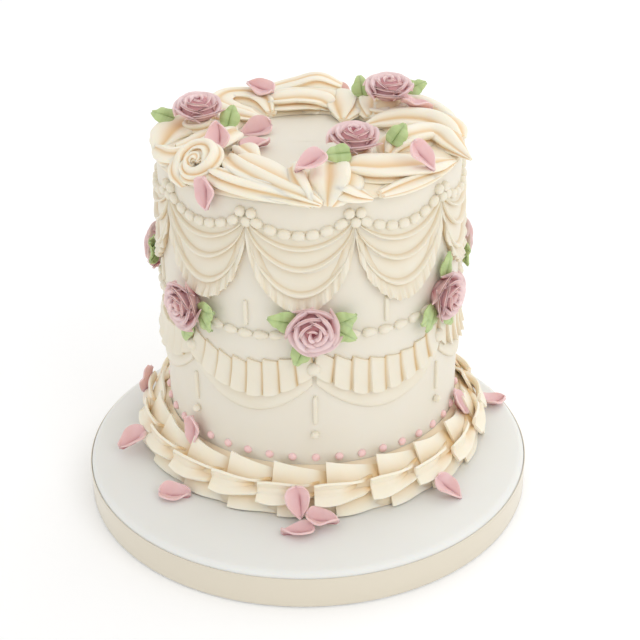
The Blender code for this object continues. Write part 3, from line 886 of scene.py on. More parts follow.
@dataclass
class LowerSwags:
    """Bead chain, box pleats and a smooth crescent between the roses, with rods, knobs and pearls."""

    points: tuple[float, ...] = (-48.0, 1.0, 54.0, 105.5, 157.0, 208.5, 260.0)
    beads_per_chain: int = 7
    pleats: int = 8
    stations_per_pleat: int = 14
    chain: tuple[float, float] = (97.0, 101.0)
    pleat_top: tuple[float, float] = (83.4, 91.0)
    pleat_low: tuple[float, float] = (69.0, 81.5)
    crescent: tuple[float, float] = (60.5, 76.0)
    flare: float = 3.6
    bead_lift: float = 0.6
    bead_size: tuple[float, float, float] = (3.5, 1.9, 1.7)
    crescent_lift: float = 1.35
    upper_rod: tuple[float, float] = (112.0, 100.5)
    lower_rod: tuple[float, float] = (69.5, 55.3)
    rod_shift: float = 0.2
    rod_lift: float = 0.35
    rod_half: tuple[float, float] = (0.95, 1.0)
    knob_height: float = 82.8
    knob_lift: float = 0.9
    knob_size: tuple[float, float, float] = (3.2, 3.2, 2.6)
    pearl_height: float = 50.7
    pearl_lift: float = 1.3
    pearl_size: tuple[float, float, float] = (1.75, 1.75, 1.75)

    def bead_row(self, start: float, end: float) -> Surface:
        """Drop-shaped beads along a shallow curve.

        Args:
            start: Angle of the rose at its left.
            end: Angle of the rose at its right.

        Returns:
            The beads.
        """
        place = np.linspace(-0.72, 0.72, self.beads_per_chain)
        angles = between(start, end, (place + 1) / 2)
        heights = between(*self.chain, place**2)
        lean = np.degrees(np.arctan(2 * 4.0 * place / 29))
        drop = ball(12, 9, 0.92)
        drop.points[:, 1:] *= 1 - 0.32 * drop.points[:, :1]
        return wall_beads(drop, angles, heights, self.bead_lift, self.bead_size, lean)

    def pleat_row(self, start: float, end: float, number: int) -> Surface:
        """Shingled pleats: along each one the flare falls evenly, then steps up to the next.

        Args:
            start: Angle of the rose at its left.
            end: Angle of the rose at its right.
            number: Sets its pleats apart.

        Returns:
            The closed surface.
        """
        count = self.pleats * self.stations_per_pleat
        place = np.linspace(-0.96, 0.96, count)
        angles = between(start, end, (place + 1) / 2)
        step = (place + 0.96) / 1.92 * self.pleats
        local = np.where(step >= self.pleats, 1.0, step % 1.0)
        index = np.minimum(step, self.pleats - 1).astype(int)
        seed = np.sin(12.9 * index + 7.7 * number)
        other = np.sin(5.1 * index + 3.3 * number + 1.0)
        top = between(*self.pleat_top, place**2) + 0.7 * seed + 1.9 * (0.5 - local) + 0.5 * other
        low = (
            between(*self.pleat_low, place**2) - 0.6 * other - 1.3 * (local - 0.5)
            + 0.5 * (2 * local - 1) ** 2
        )
        hump = (
            np.clip(np.minimum(local / 0.07, 1), 0, 1) * (1 - 0.72 * local**0.9)
            + 0.12 * np.sin(math.pi * local)
        )
        share = np.array([0.0, 0.0, 0.12, 0.4, 0.7, 1.0, 1.0, 0.8, 0.8])
        rise = np.array([-0.2, 0.32, 0.36, 0.45, 0.7, 1.0, 0.75, 0.3, -0.2])
        # painted shade by level: along the top edge and under the flared lower edge
        painted_shade_by_level = np.array([0.4, 0.1, 0.0, 0.0, 0.0, 0.0, 0.2, 0.6, 0.8])
        fade = (1 - 0.25 * np.abs(place) ** 4)[:, None]
        lifts = fade * self.flare * rise * (0.18 + 0.88 * hump[:, None]) + 0.15
        # painted shade in the seams at both ends of each pleat, strongest where the next pleat laps over
        shade = (
            painted_shade_by_level + 1.0 * np.exp(-((local[:, None] - 1.0) / 0.10) ** 2)
            + 0.6 * np.exp(-(local[:, None] / 0.05) ** 2)
        )
        heights = top[:, None] + (low - top)[:, None] * share
        fanned = angles[:, None] + 1.6 * place[:, None] * share
        return relief(fanned, heights, lifts, np.clip(shade, 0, 1))

    def crescent_piece(self, start: float, end: float) -> Surface:
        """Smooth thin swag below the pleats, with a rounded lower edge.

        Args:
            start: Angle of the rose at its left.
            end: Angle of the rose at its right.

        Returns:
            The closed surface.
        """
        place = np.linspace(-0.97, 0.97, 61)
        angles = between(start, end, (place + 1) / 2)
        top = between(*self.pleat_low, place**2) + 3.0
        low = between(*self.crescent, place**2)
        share = np.array([0.0, 0.0, 0.35, 0.65, 0.85, 0.95, 1.0, 1.0, 0.97])
        rise = np.array([-0.4, 0.5, 0.75, 0.95, 1.0, 0.9, 0.55, 0.1, -0.4])
        # painted shade by level: at the top, under the pleats, and under the rounded lower edge
        painted_shade_by_level = np.array([0.5, 0.5, 0.1, 0.0, 0.0, 0.0, 0.1, 0.5, 0.6])
        heights = top[:, None] + (low - top)[:, None] * share
        return relief(angles, heights, self.crescent_lift * rise + 0 * heights, painted_shade_by_level)

    def rod(self, angle: float, top: float, low: float) -> Surface:
        """Upright string with round ends: a ball drawn out along the wall.

        Args:
            angle: Degrees from the front.
            top: Height of its upper end.
            low: Height of its lower end.

        Returns:
            The closed rod.
        """
        size = (self.rod_half[0], (top - low) / 2, self.rod_half[1])
        middle = np.array([(top + low) / 2])
        return wall_beads(ball(10, 11, 0.45), np.array([angle]), middle, self.rod_lift, size)

    def build(self) -> None:
        """Adds the beads, the pleats and the crescents, each as one piece."""
        ends = self.points + (self.points[0] + 360,)
        gaps = list(zip(ends[:-1], ends[1:]))
        spots = np.array(self.points)
        icing = PIPED_IVORY.material()
        trims = [self.bead_row(*gap) for gap in gaps]
        trims += [self.rod(sum(gap) / 2 + self.rod_shift, *self.upper_rod) for gap in gaps]
        trims += [self.rod(spot + self.rod_shift, *self.lower_rod) for spot in spots]
        knobs = np.full(len(spots), self.knob_height)
        pearls = np.full(len(spots), self.pearl_height)
        trims.append(wall_beads(ball(), spots, knobs, self.knob_lift, self.knob_size))
        trims.append(wall_beads(ball(), spots, pearls, self.pearl_lift, self.pearl_size))
        pleats = joined([self.pleat_row(*gap, number) for number, gap in enumerate(gaps)])
        crescents = joined([self.crescent_piece(*gap) for gap in gaps])
        add_piece("lower_pleats", pleats, icing, ["cake"])
        add_piece("lower_crescents", crescents, icing, ["cake"])
        add_piece("lower_beads", joined(trims), icing, ["cake"])


@dataclass
class DotRing:
    """Round pink dots just above the foot frill, in a ring that dips to the right."""

    count: int = 42
    start: float = 1.2
    height: float = 38.7
    dip: float = 1.2
    radius: float = 1.85
    proud: float = 1.4
    lift: float = 0.3

    def build(self) -> None:
        """Adds the dots as one piece."""
        angles = self.start + np.arange(self.count) * 360 / self.count
        heights = self.height - self.dip * np.sin(np.radians(angles))
        dots = wall_beads(ball(14, 9), angles, heights, self.lift, (self.radius, self.radius, self.proud))
        add_piece("pink_dots", dots, DOT_PINK.material(), ["cake"])


@dataclass
class FootFrill:
    """Shingled frill at the foot: each fold has a flap behind, an open bow and a flap on the board."""

    folds: int = 21
    phase: float = 2.8
    thickness: float = 1.1
    flap_top: float = 38.6
    flap_low: float = 27.0
    flap_drop: float = 6.0
    flap_radius: float = 77.0
    flap_lean: float = 7.0
    bow_half: float = 4.8
    bow_height: float = 28.1
    bow_radius: float = 80.4
    skirt_radius: float = 78.2
    skirt_reach: float = 82.9
    skirt_top: float = 24.6
    skirt_drop: float = 6.4

    def core(self) -> Surface:
        """Turned ring that fills the frill's inside and closes its gaps."""
        profile = np.array([(67.7, 17.3), (80.0, 17.3), (80.0, 20.0), (78.0, 24.5), (76.0, 28.5),
            (72.5, 31.0), (69.4, 34.0), (67.5, 35.0)])
        # painted shade of 0.4 all over, for the frill's shaded inside
        return turned(profile, 120, CAKE_AXIS, 0.4)

    def flap_behind(self, start: float, width: float, seed: float) -> Surface:
        """Upright flap: prouder and higher at its left, its top edge slopes down to the right.

        Args:
            start: Angle of its left end.
            width: Degrees that it spans.
            seed: Sets it apart from the others.

        Returns:
            The closed flap.
        """
        along = np.linspace(-0.08, 1.04, 14)[:, None]
        up = np.linspace(0, 1, 8)[None]
        high = (
            self.flap_top - self.flap_drop * ease(along, -0.25, 1.1)
            + 0.3 * np.sin(4.4 * along + 2 * seed) + 0.4 * seed
        )
        height = self.flap_low + (high - self.flap_low) * up
        proud = 1 - ease(along, 0.0, 1.0)
        radius = (
            self.flap_radius - self.flap_lean * up + 1.1 * proud * up
            + 0.4 * np.sin(6 * along + seed) * up
        )
        # painted shade low on the flap, behind the bow, and at its right end, under the next fold
        shade = 0.6 * (1 - up) ** 1.4 + 0.7 * ease(along, 0.68, 0.98) + 0 * up
        return sheet(around(start + width * along, radius, height), self.thickness, np.clip(shade, 0, 1))

    def bow(self, start: float, width: float, seed: float) -> Surface:
        """Open fold: flared at its left, pinched to a hole at its right, a trough between two lips.

        Args:
            start: Angle of its left end.
            width: Degrees that it spans.
            seed: Sets it apart from the others.

        Returns:
            The closed fold.
        """
        along = np.linspace(-0.14, 1.0, 22)[:, None]
        across = np.linspace(-1, 1, 17)[None]
        shut = ease(along, 0.05, 1.05)
        half = (
            self.bow_half - 2.2 * shut + 0.3 * np.sin(5 * along + 2 * seed)
            - 0.5 * ease(-along, -0.05, 0.14)
        )
        middle = self.bow_height + 0.4 * seed + 0.6 * shut
        trough = (1.7 + 4.1 * ease(along, 0.3, 0.95)) * (1 - np.abs(across) ** 2.0)
        tuck = 1.6 * shut + 2.4 * ease(along, 0.72, 1.0)
        radius = self.bow_radius - tuck - trough - 1.7 * across + 0.7 * (1 - shut) * np.abs(across) ** 3
        radius = radius + 0.5 * (0.3 + shut) * np.cos(9 * across + 2 * seed) * (1 - across**2)
        height = middle + half * across
        # painted shade in the trough, deepening towards the pinch, with a dark painted dimple at the pinch
        shade = (
            (0.1 + 0.9 * ease(along, 0.25, 0.8)) * (1 - np.abs(across) ** 1.6)
            + 0.8 * ease(along, 0.74, 0.9)
        )
        return sheet(around(start + width * along, radius, height), self.thickness, np.clip(shade, 0, 1))

    def flap_below(self, start: float, width: float, seed: float) -> Surface:
        """Flap that hangs to the board, further out at its left.

        Args:
            start: Angle of its left end.
            width: Degrees that it spans.
            seed: Sets it apart from the others.

        Returns:
            The closed flap.
        """
        along = np.linspace(-0.06, 1.04, 14)[:, None]
        down = np.linspace(0, 1, 8)[None]
        reach = self.skirt_reach - 2.9 * ease(along, 0.0, 1.0) + 0.3 * np.sin(5 * along + 2 * seed)
        radius = self.skirt_radius + (reach - self.skirt_radius) * down**0.7
        height = (
            self.skirt_top - self.skirt_drop * down - 0.3 * along * down
            + 0.4 * np.sin(4 * along + seed) * down * (1 - down)
        )
        # painted shade at its top, under the bow, and at its right end, under the next fold
        shade = 0.7 * (1 - down) ** 1.4 + 0.6 * ease(along, 0.7, 0.98)
        return sheet(around(start + width * along, radius, height), self.thickness, np.clip(shade, 0, 1))

    def build(self) -> None:
        """Adds the frill as one piece, its folds told apart by slow sines."""
        step = 360 / self.folds
        pieces = [self.core()]
        for fold in range(self.folds):
            start = self.phase + fold * step + 0.7 * math.sin(2.1 * fold)
            seed = math.sin(1.7 * fold + 0.4)
            pieces.append(self.flap_behind(start + 0.18 * step, step * 0.98, seed))
            pieces.append(self.bow(start, step, seed))
            pieces.append(self.flap_below(start + 0.30 * step, step, seed))
        add_piece("foot_frill_piping", joined(pieces), BORDER_CREAM.material(), ["foot_frill"])


@dataclass(frozen=True)
class Scroll:
    """One stroke of the rim's piping: rows of angle, radius, height, half width and half height."""

    knots: tuple[tuple[float, float, float, float, float], ...]
    ridges: int = 5
    depth: float = 0.33
    free: bool = False


@dataclass
class RimBorder:
    """Ring of large piped swirls and shells that covers the rim."""

    strokes: tuple[Scroll, ...] = (
        # inner fill at the front left, then the swirls at the left
        Scroll(((-62, 34, 159.5, 2.5, 2.2), (-54, 35, 161.5, 5.5, 4.2), (-44, 37, 162, 6.0, 4.6),
                (-36, 38, 161, 4.0, 3.6), (-30, 37, 159.5, 1.4, 1.2)), 5),
        Scroll(((-112, 38, 160, 3.0, 3.0), (-106, 44, 163, 7.5, 5.4), (-98, 53, 163.5, 9.5, 5.8),
                (-90, 60, 162, 8.0, 5.0), (-82, 65, 160, 4.5, 3.4), (-77, 67, 158.5, 1.4, 1.2))),
        Scroll(((-94, 34, 160, 3.0, 3.0), (-85, 36, 163, 7.0, 5.2), (-74, 41, 164, 8.5, 5.8),
                (-65, 50, 163.5, 8.5, 5.6), (-64, 59, 162, 7.5, 5.0), (-72, 64, 160.5, 5.5, 4.0),
                (-80, 66, 159, 2.0, 1.8))),
        # low shell along the front edge, and the long one over it
        Scroll(((-42, 58, 164, 2, 2), (-33, 61, 164, 5, 4), (-22, 63, 163, 5.6, 4.2),
                (-11, 65, 161, 5.2, 3.6), (-2, 67, 158, 2.4, 1.8)), 5),
        Scroll(((-46, 44, 160, 4.0, 3.0), (-39, 47, 163, 8.0, 5.5), (-29, 51, 163.5, 10.5, 6.2),
                (-19, 55, 162.5, 11.0, 6.2), (-9, 60, 161, 9.0, 5.2), (-1, 64.5, 158.5, 6.0, 4.0),
                (4, 68, 156.4, 2.0, 1.6)), 6),
        # long shell at the right of the front, with a low one under it
        Scroll(((24, 66, 158, 2.5, 2.0), (32, 65.5, 158.7, 4.5, 3.4), (42, 65.8, 158.7, 4.5, 3.4),
                (50, 66.5, 158, 3.0, 2.2), (55, 67, 157.5, 0.9, 0.8)), 5),
        Scroll(((16, 44, 160, 4.0, 3.0), (22, 48, 163.5, 8.5, 5.8), (31, 53, 163.5, 10.5, 6.2),
                (41, 56.5, 162.5, 10.0, 5.6), (50, 60.5, 161, 7.5, 4.6), (58, 65, 159.5, 4.2, 3.0),
                (64, 68, 158.5, 1.2, 1.0)), 6),
        # narrow ribbon and the hump beside it
        Scroll(((-6, 44, 160, 3.0, 3.0), (-6, 49, 163.5, 5.0, 5.5), (-4, 56, 163, 5.5, 5.5),
                (-1.5, 62, 160.8, 4.6, 4.6), (0.5, 66.5, 157, 2.8, 2.4), (1, 69.0, 155.4, 0.8, 0.8)), 4),
        Scroll(((15, 39, 159, 3.5, 3.0), (14, 44, 161.5, 7.5, 6.0), (11.5, 51, 162.6, 10.0, 6.5),
                (10, 58, 161.6, 10.5, 6.2), (8.5, 64, 158.6, 8.0, 4.6), (6.5, 69.6, 154.8, 2.4, 1.4)), 4),
        Scroll(((9, 55, 160, 3.0, 2.5), (13, 61, 160.5, 6.5, 4.4), (17, 66, 158.2, 5.0, 3.0),
                (21, 69.0, 156.6, 1.2, 0.9)), 4),
        # swirl at the right with its pulled tip
        Scroll(((52, 41, 160, 3.0, 3.0), (60, 40, 163, 7.0, 5.4), (72, 43, 164.5, 9.0, 6.0),
                (82, 51, 164, 9.0, 6.0), (80, 58, 163.5, 8.0, 5.4), (73, 63, 162.5, 6.0, 4.4),
                (67, 69, 162, 3.0, 2.4), (63, 74, 162, 0.8, 0.8)), free=True),
        Scroll(((86, 66, 159.5, 3.0, 3.0), (93, 61, 163, 7.5, 5.2), (102, 54, 164, 9.5, 6.0),
                (111, 45, 163.5, 9.0, 5.6), (117, 37, 161.5, 6.0, 4.4), (121, 31, 159.5, 1.6, 1.4))),
        # swirl at the right of the back, and its spike
        Scroll(((98, 66, 159.5, 3.0, 3.0), (106, 65, 161.5, 6.0, 4.8), (117, 62, 163, 8.0, 5.4),
                (127, 56, 164, 8.5, 6.0), (130, 48, 164, 8.0, 5.6), (124, 42, 162.5, 6.0, 4.8),
                (117, 41, 161, 3.0, 3.0))),
        Scroll(((137, 54, 163, 5.0, 4.5), (141, 57, 166.5, 3.6, 3.4), (144, 58.5, 169.5, 2.0, 1.9),
                (145, 59, 172, 0.5, 0.5)), 5),
        # leaf-like shells of the back
        Scroll(((130, 37, 160, 3.0, 3.0), (137, 42, 163, 8.0, 5.6), (145, 50, 163.5, 9.5, 6.0),
                (152, 57, 162.5, 8.0, 5.2), (158, 63, 160.5, 4.5, 3.4), (161, 66.5, 159, 1.2, 1.0)), 6),
        Scroll(((146, 29, 159, 2.5, 2.2), (151, 35, 162, 7.0, 4.8), (157, 43, 163, 9.0, 5.6),
                (163, 51, 162, 8.0, 5.2), (167, 58, 160.5, 4.0, 3.4)), 6),
        # long shells across the back
        Scroll(((166, 60, 164, 4.0, 3.4), (176, 60, 169.5, 7.5, 5.4), (186, 60, 165, 7.5, 5.4),
                (196, 60, 162, 6.5, 4.4), (206, 60, 161, 4.0, 3.4)), 5),
        Scroll(((162, 40, 159.5, 4.0, 3.0), (168, 42, 163, 10.0, 6.4), (177, 44, 164, 12.5, 7.0),
                (187, 45, 164, 13.0, 7.2), (197, 45, 163.5, 11.5, 6.6), (205, 47, 162, 8.0, 5.2),
                (212, 50, 160.5, 3.0, 2.4)), 6),
        # twisted loop at the left of the back, and the shell beside it
        Scroll(((210, 36, 160, 3.0, 3.0), (207, 44, 163.5, 6.5, 5.4), (210, 53, 164.5, 7.0, 5.8),
                (218, 58.5, 164, 7.0, 5.6), (227, 55, 163.5, 7.0, 5.4), (231, 46, 163, 6.5, 5.2),
                (228, 38, 161.5, 5.5, 4.4), (222, 34, 160, 2.0, 1.8)), 5),
        Scroll(((232, 62, 160, 3.0, 3.0), (239, 58, 162.5, 7.5, 5.2), (246, 51, 163.5, 9.0, 5.8),
                (253, 43, 163, 8.5, 5.4), (259, 36, 161, 4.0, 3.4), (263, 33, 159.5, 1.2, 1.2)), 6),
    )
    axis_radius: float = 44.0
    spread: float = 1.12
    fullness: float = 1.12
    stations: tuple[float, ...] = (0.0, 30.0, 60.0, 110.0, 150.0, 180.0)
    reach: tuple[float, ...] = (71.0, 70.4, 67.6, 66.6, 67.6, 68.4)
    rise: tuple[float, ...] = (0.66, 0.64, 0.70, 0.62, 0.52, 0.52)
    tallness: tuple[float, ...] = (0.78, 0.78, 0.80, 0.74, 0.64, 0.62)
    rosette_angle: float = -46.5
    rosette_radius: float = 60.5
    rosette_height: float = 162.0
    rosette_tilt: float = 40.0
    rosette_size: float = 10.4
    rosette_turns: float = 1.7
    rosette_rise: float = 3.4
    rosette_thick: float = 6.2
    mound_turns: float = 1.35
    mound_thick: float = 3.9
    mounds: tuple[tuple[float, float, float, float], ...] = (
        (-95.0, 47.2, 168.4, 8.0), (129.0, 45.8, 168.4, 8.0), (35.0, 33.2, 165.2, 8.0),
    )

    def rosette(self) -> Surface:
        """Rosette that leans out over the rim: a spiral that winds in and rises in its own tilted plane.

        Returns:
            The closed spiral.
        """
        axes = frame_axes(self.rosette_angle, self.rosette_tilt, 0.0)
        share = np.linspace(0, 1, 15)
        turn = -math.pi / 2 - 2 * math.pi * self.rosette_turns * share
        reach = self.rosette_size * (1 - 0.92 * share**1.1)
        flat = np.stack([reach * np.cos(turn), reach * np.sin(turn), self.rosette_rise * share**1.4],
            axis=1)
        middle = around(self.rosette_angle, self.rosette_radius, self.rosette_height)
        thick = self.rosette_thick * (1 - 0.6 * share)
        thick = thick * np.minimum(1, 0.3 + 6 * share) * np.minimum(1, 0.25 + 5 * (1 - share))
        line = np.concatenate([flat @ axes.T + middle, thick[:, None], 0.9 * thick[:, None]], axis=1)
        return piped(line, 7, 0.34, 120, 0.6)

    def stroke(self, scroll: Scroll, seed: float) -> Surface:
        """One piped stroke, its knots turned from angle, radius and height to points.

        The height above the cake's top and the stroke's own height are taken down by shares that
        depend on how far round from the front it lies, and its radius stays within a reach.

        Args:
            scroll: Its knots and ridges.
            seed: Sets its unevenness apart.

        Returns:
            The closed stroke.
        """
        angle, radius, height, wide, high = np.array(scroll.knots, float).T
        far = np.abs((angle + 180) % 360 - 180)
        reach = np.interp(far, self.stations, self.reach)
        rise = np.interp(far, self.stations, self.rise)
        tall = np.interp(far, self.stations, self.tallness)
        if not scroll.free:
            radius = self.axis_radius + (radius - self.axis_radius) * self.spread
            radius = np.minimum(radius, reach - 0.8 * wide)
        height = np.where(height > TOP_FLOOR, TOP_FLOOR + (height - TOP_FLOOR) * rise, height)
        points = around(angle, radius, height + 0.4)
        line = np.concatenate([points, np.stack([wide, high * tall], axis=1) * self.fullness], axis=1)
        return piped(line, scroll.ridges, scroll.depth, 60, seed)

    def mound(self, angle: float, radius: float, top: float, size: float) -> Surface:
        """Swirl that carries a rose: a piped spiral that winds in as it rises, round a turned core.

        Args:
            angle: Angle of its middle.
            radius: Distance of its middle from the axis.
            top: Height of its top.
            size: How far the spiral reaches.

        Returns:
            The core and the spiral.
        """
        middle = around(angle, radius, 0.0)
        share = np.linspace(0, 1, 13)
        turn = math.radians(angle) + 2 * math.pi * self.mound_turns * share
        reach = size * (0.92 - 0.62 * share)
        height = between(TOP_FLOOR + 2.4, top - 3.0, share)
        thick = self.mound_thick * np.minimum(1, 0.3 + 5 * share) * np.minimum(1, 0.4 + 4 * (1 - share))
        spiral = [middle[0] + reach * np.cos(turn), middle[1] + reach * np.sin(turn), height, thick,
            0.85 * thick]
        rows = [(0.01, TOP_FLOOR), (size, TOP_FLOOR), (0.8 * size, top - 5.0), (0.5 * size, top - 1.4),
            (0.01, top)]
        # painted shade of 0.5 on the core, under the spiral
        core = turned(np.array(rows), 40, middle[:2], 0.5)
        return joined([core, piped(np.stack(spiral, axis=1), 6, 0.33, 90, 0.03 * angle)])

    def base(self) -> Surface:
        """Low ring under the strokes, which fills the gaps between them."""
        profile = np.array([(35.0, 157.2), (65.8, 157.2), (66.9, 156.4), (67.1, 157.2), (65.5, 159.0),
            (60.0, 160.5), (44.0, 160.5), (37.0, 159.0)])
        # painted shade of 0.2 on the base ring, seen in the gaps between strokes
        return turned(profile, 120, CAKE_AXIS, 0.2)

    def build(self) -> None:
        """Adds the border as one piece."""
        pieces = [self.base(), self.rosette()]
        pieces += [self.mound(*mound) for mound in self.mounds]
        pieces += [self.stroke(scroll, 1.3 * number) for number, scroll in enumerate(self.strokes)]
        add_piece("rim_border_piping", joined(pieces), BORDER_CREAM.material(), ["rim_border"])


def frame_axes(angle: float, tilt: float, turn: float) -> np.ndarray:
    """Columns right, up and out of a frame whose out leans outwards by a tilt and that is turned about it.

    Args:
        angle: Degrees about the cake.
        tilt: Degrees that the out axis leans from upright.
        turn: Degrees that the frame turns about its out axis.

    Returns:
        A matrix whose columns are the local X, Y and Z.
    """
    lean, spin = math.radians(tilt), math.radians(turn)
    away, side = outward(float(angle)), rightward(float(angle))
    out = away * math.sin(lean) + UPWARD * math.cos(lean)
    slope = away * math.cos(lean) - UPWARD * math.sin(lean)
    right = side * math.cos(spin) - slope * math.sin(spin)
    return np.stack([right, np.cross(out, right), out], axis=1)


def node_centre(node: str) -> np.ndarray:
    """Middle of a CAD node's box, in millimetres."""
    low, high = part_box(node)
    return np.array((low + high) / 2) / MILLIMETRE


def settled(surface: Surface, support: BVHTree, direction: Sequence[float], sink: float) -> Surface:
    """Surface slid along a direction until its nearest point has sunk a little into what carries it.

    Args:
        surface: Loose piece, in millimetres.
        support: Search tree of what carries it, in metres.
        direction: Way that it slides.
        sink: How far the first point to touch goes in.

    Returns:
        The moved surface, or the same one where nothing lies that way.
    """
    ahead = Vector(direction).normalized()
    back_off = 12.0
    every = 5
    starts = surface.points[::every] * MILLIMETRE
    hits = [support.ray_cast(Vector(p) - ahead * metres(back_off), ahead)[3] for p in starts]
    room = [distance / MILLIMETRE - back_off for distance in hits if distance is not None]
    if not room:
        return surface
    shift = np.array(ahead) * (min(room) + sink)
    return Surface(surface.points + shift, surface.blocks, surface.shade)


@dataclass
class SugarRose:
    """Piped rose: whorls of curled petals round a tight three-sided bud, about local Z."""

    radius: float = 10.8
    foot: float = 3.0
    flatness: float = 0.10
    seed: int = 0

    def petal(self, turn: float, half_angle: float, radii: tuple[float, float],
            heights: tuple[float, float], curl: float, dent: float) -> Surface:
        """One petal from a grid of across and up: its rim is round, curls outwards and laps over the next.

        Args:
            turn: Angle of its middle about the rose, in radians.
            half_angle: Half of the angle that it spans.
            radii: Distance from the rose's axis at its foot and its rim.
            heights: Heights of its foot and its rim.
            curl: How far its rim rolls outwards.
            dent: Depth of the dent in the middle of its rim.

        Returns:
            The closed petal.
        """
        up = np.linspace(0, 1, 9)[:, None]
        across = np.linspace(-1, 1, 15)[None]
        angle = turn + half_angle * across * (0.55 + 0.45 * up)
        roll = ease(up, 0.7, 1.0)
        radius = (
            radii[0] + (radii[1] - radii[0]) * up**0.9
            + curl * roll * (1 - 0.35 * across**2) + 0.65 * across
        )
        radius = radius * (1 + self.flatness * (across**2 - 0.5) * up)
        radius = radius - dent * roll * np.exp(-(across / 0.22) ** 2)
        top = heights[1] - (heights[1] - heights[0]) * 0.36 * np.abs(across) ** 4
        height = heights[0] + (top - heights[0]) * up**0.85 - 0.35 * curl * roll**2
        front = np.stack([radius * np.cos(angle), radius * np.sin(angle), height + 0 * angle], axis=-1)
        thick = (1.05 - 0.2 * up) * (1 - 0.5 * across**4)
        # painted shade: a little over all the petal but its rim, so the rim looks lit; more towards the
        # foot, and along the sides below the rim
        edge = 0.25 * np.abs(across) ** 4 * (1 - ease(up, 0.8, 1.0))
        shade = 0.16 * (1 - ease(up, 0.74, 0.93)) + 0.75 * (1 - up) ** 1.3 + edge
        return sheet(front, thick, shade)

    def surface(self) -> Surface:
        """All whorls, the bud and the closed cushion below them.

        Returns:
            The whole rose about local Z.
        """
        rng = np.random.default_rng(100 + self.seed)
        reach = self.radius
        whorls = (
            (5, 0.96, (6.0, reach - 0.7), (0.8, self.foot + 4.2), 1.2, 0.3),
            (4, 1.14, (4.8, reach - 3.2), (1.5, self.foot + 6.0), 1.1, 0.2),
            (4, 1.10, (3.4, reach - 5.7), (2.5, self.foot + 7.1), 0.7, 0.0),
            (3, 1.36, (1.7, reach - 8.2), (3.5, self.foot + 7.7), 0.3, 0.0),
        )
        pieces = []
        for row, (count, half, radii, heights, curl, dent) in enumerate(whorls):
            for number in range(count):
                jitter = rng.uniform(-1, 1, 4)
                turn = 2 * math.pi * (number + 0.37 * row) / count + 0.10 * jitter[0]
                tall = (heights[0], heights[1] + 0.35 * jitter[1])
                wide = (radii[0], radii[1] + 0.3 * jitter[2])
                pieces.append(self.petal(turn, half * (1 + 0.06 * jitter[3]), wide, tall, curl, dent))
        profile = np.array([(0.01, 0.0), (5.6, 0.0), (6.8, 1.4), (7.2, 4.0), (5.2, 6.6), (2.4, 8.4),
            (0.9, 7.4), (0.01, 6.4)])
        # painted shade on the cushion, darkest at its middle hole
        painted_hollow_shade = np.array([0.5, 0.5, 0.5, 0.5, 0.7, 0.8, 1.0, 1.0])
        pieces.append(turned(profile, 24, np.zeros(2), painted_hollow_shade))
        return joined(pieces)


def leaf_surface(length: float, width: float, seed: float, two_lobes: bool = True) -> Surface:
    """Piped leaf along local X: a deep crease down its middle, ripples across and a drawn-out tip.

    Args:
        length: From foot to tip.
        width: Across its widest place.
        seed: Sets the ripples apart.
        two_lobes: Whether the crease splits it nearly to the foot.

    Returns:
        The closed leaf.
    """
    along = np.linspace(0, 1, 23)[:, None]
    across = np.linspace(-1, 1, 15)[None]
    half = width / 2 * (np.sin(math.pi * np.clip(0.12 + 0.88 * along, 0, 1) ** 0.85) ** 0.8 + 0.02)
    ripple = np.sin(13 * along + seed + 0.6 * np.sin(9 * along))
    half = half * (1 + 0.09 * ripple) * (1.05 - 0.4 * along**2.5)
    crease = (1.5 if two_lobes else 1.0) * np.exp(-np.abs(across) / 0.28) * (1 - 0.4 * along)
    dome = 1.5 * (1 - across**2) * np.sin(math.pi * np.clip(along, 0.02, 1)) ** 0.6
    x = length * (along + 0.05 * np.abs(across) * (1 - along))
    z = 0.8 + dome * 0.9 - crease + 0.28 * ripple * np.abs(across) ** 1.5 + 0.9 * along**3
    front = np.stack([x + 0 * across, half * across, z + 0 * across], axis=-1)
    # painted shade in the crease, towards the foot and in the troughs of the ripples
    shade = 0.85 * np.exp(-np.abs(across) / 0.14) + 0.35 * (1 - along) ** 2 + 0.2 * (ripple < -0.5)
    return sheet(front, 0.8, np.clip(shade, 0, 1))


def petal_surface(length: float, width: float, seed: float) -> Surface:
    """Loose petal along local X, centred: round at its foot, drawn to a point at its far end.

    Its sides rise as a power of the distance from a fold that runs a little askew, and one
    rises higher than the other.

    Args:
        length: From tip to tip.
        width: Across its widest place.
        seed: Sets its edge waves apart.

    Returns:
        The closed petal.
    """
    along = np.linspace(-1, 1, 29)[:, None]
    across = np.linspace(-1, 1, 21)[None]
    half = width / 2 * (1.002 + along) ** 0.48 * (1.002 - along) ** 0.9 / 1.07 + 0.1
    aside = across - 0.16 * math.sin(seed) - 0.12 * along * math.cos(seed)
    steep = 2.6 + 0.9 * math.sin(2 * seed + 1) * np.sign(aside)
    wave = 0.5 * np.sin(4.6 * along + seed) * np.abs(across) ** 2
    fold = 1.5 * np.exp(-(aside / 0.13) ** 2) * ease(along, -0.75, 0.1) * (1 - ease(along, 0.8, 1.0))
    z = steep * np.abs(aside) ** 1.4 * (1 - 0.35 * along**2) - fold + 1.5 * ease(-along, 0.1, 1.0) + wave
    front = np.stack([length / 2 * along + 0 * across, half * across, z], axis=-1)
    # an even 0.24 of the groove colour deepens the pink of the whole petal; painted shade adds along the
    # fold and in the low middle
    shade = 0.24 + 0.62 * np.exp(-(aside / 0.14) ** 2) * ease(along, -0.8, 0.0) + 0.2 * (1 - np.abs(across))
    return sheet(front, 0.8, np.clip(shade, 0, 1))


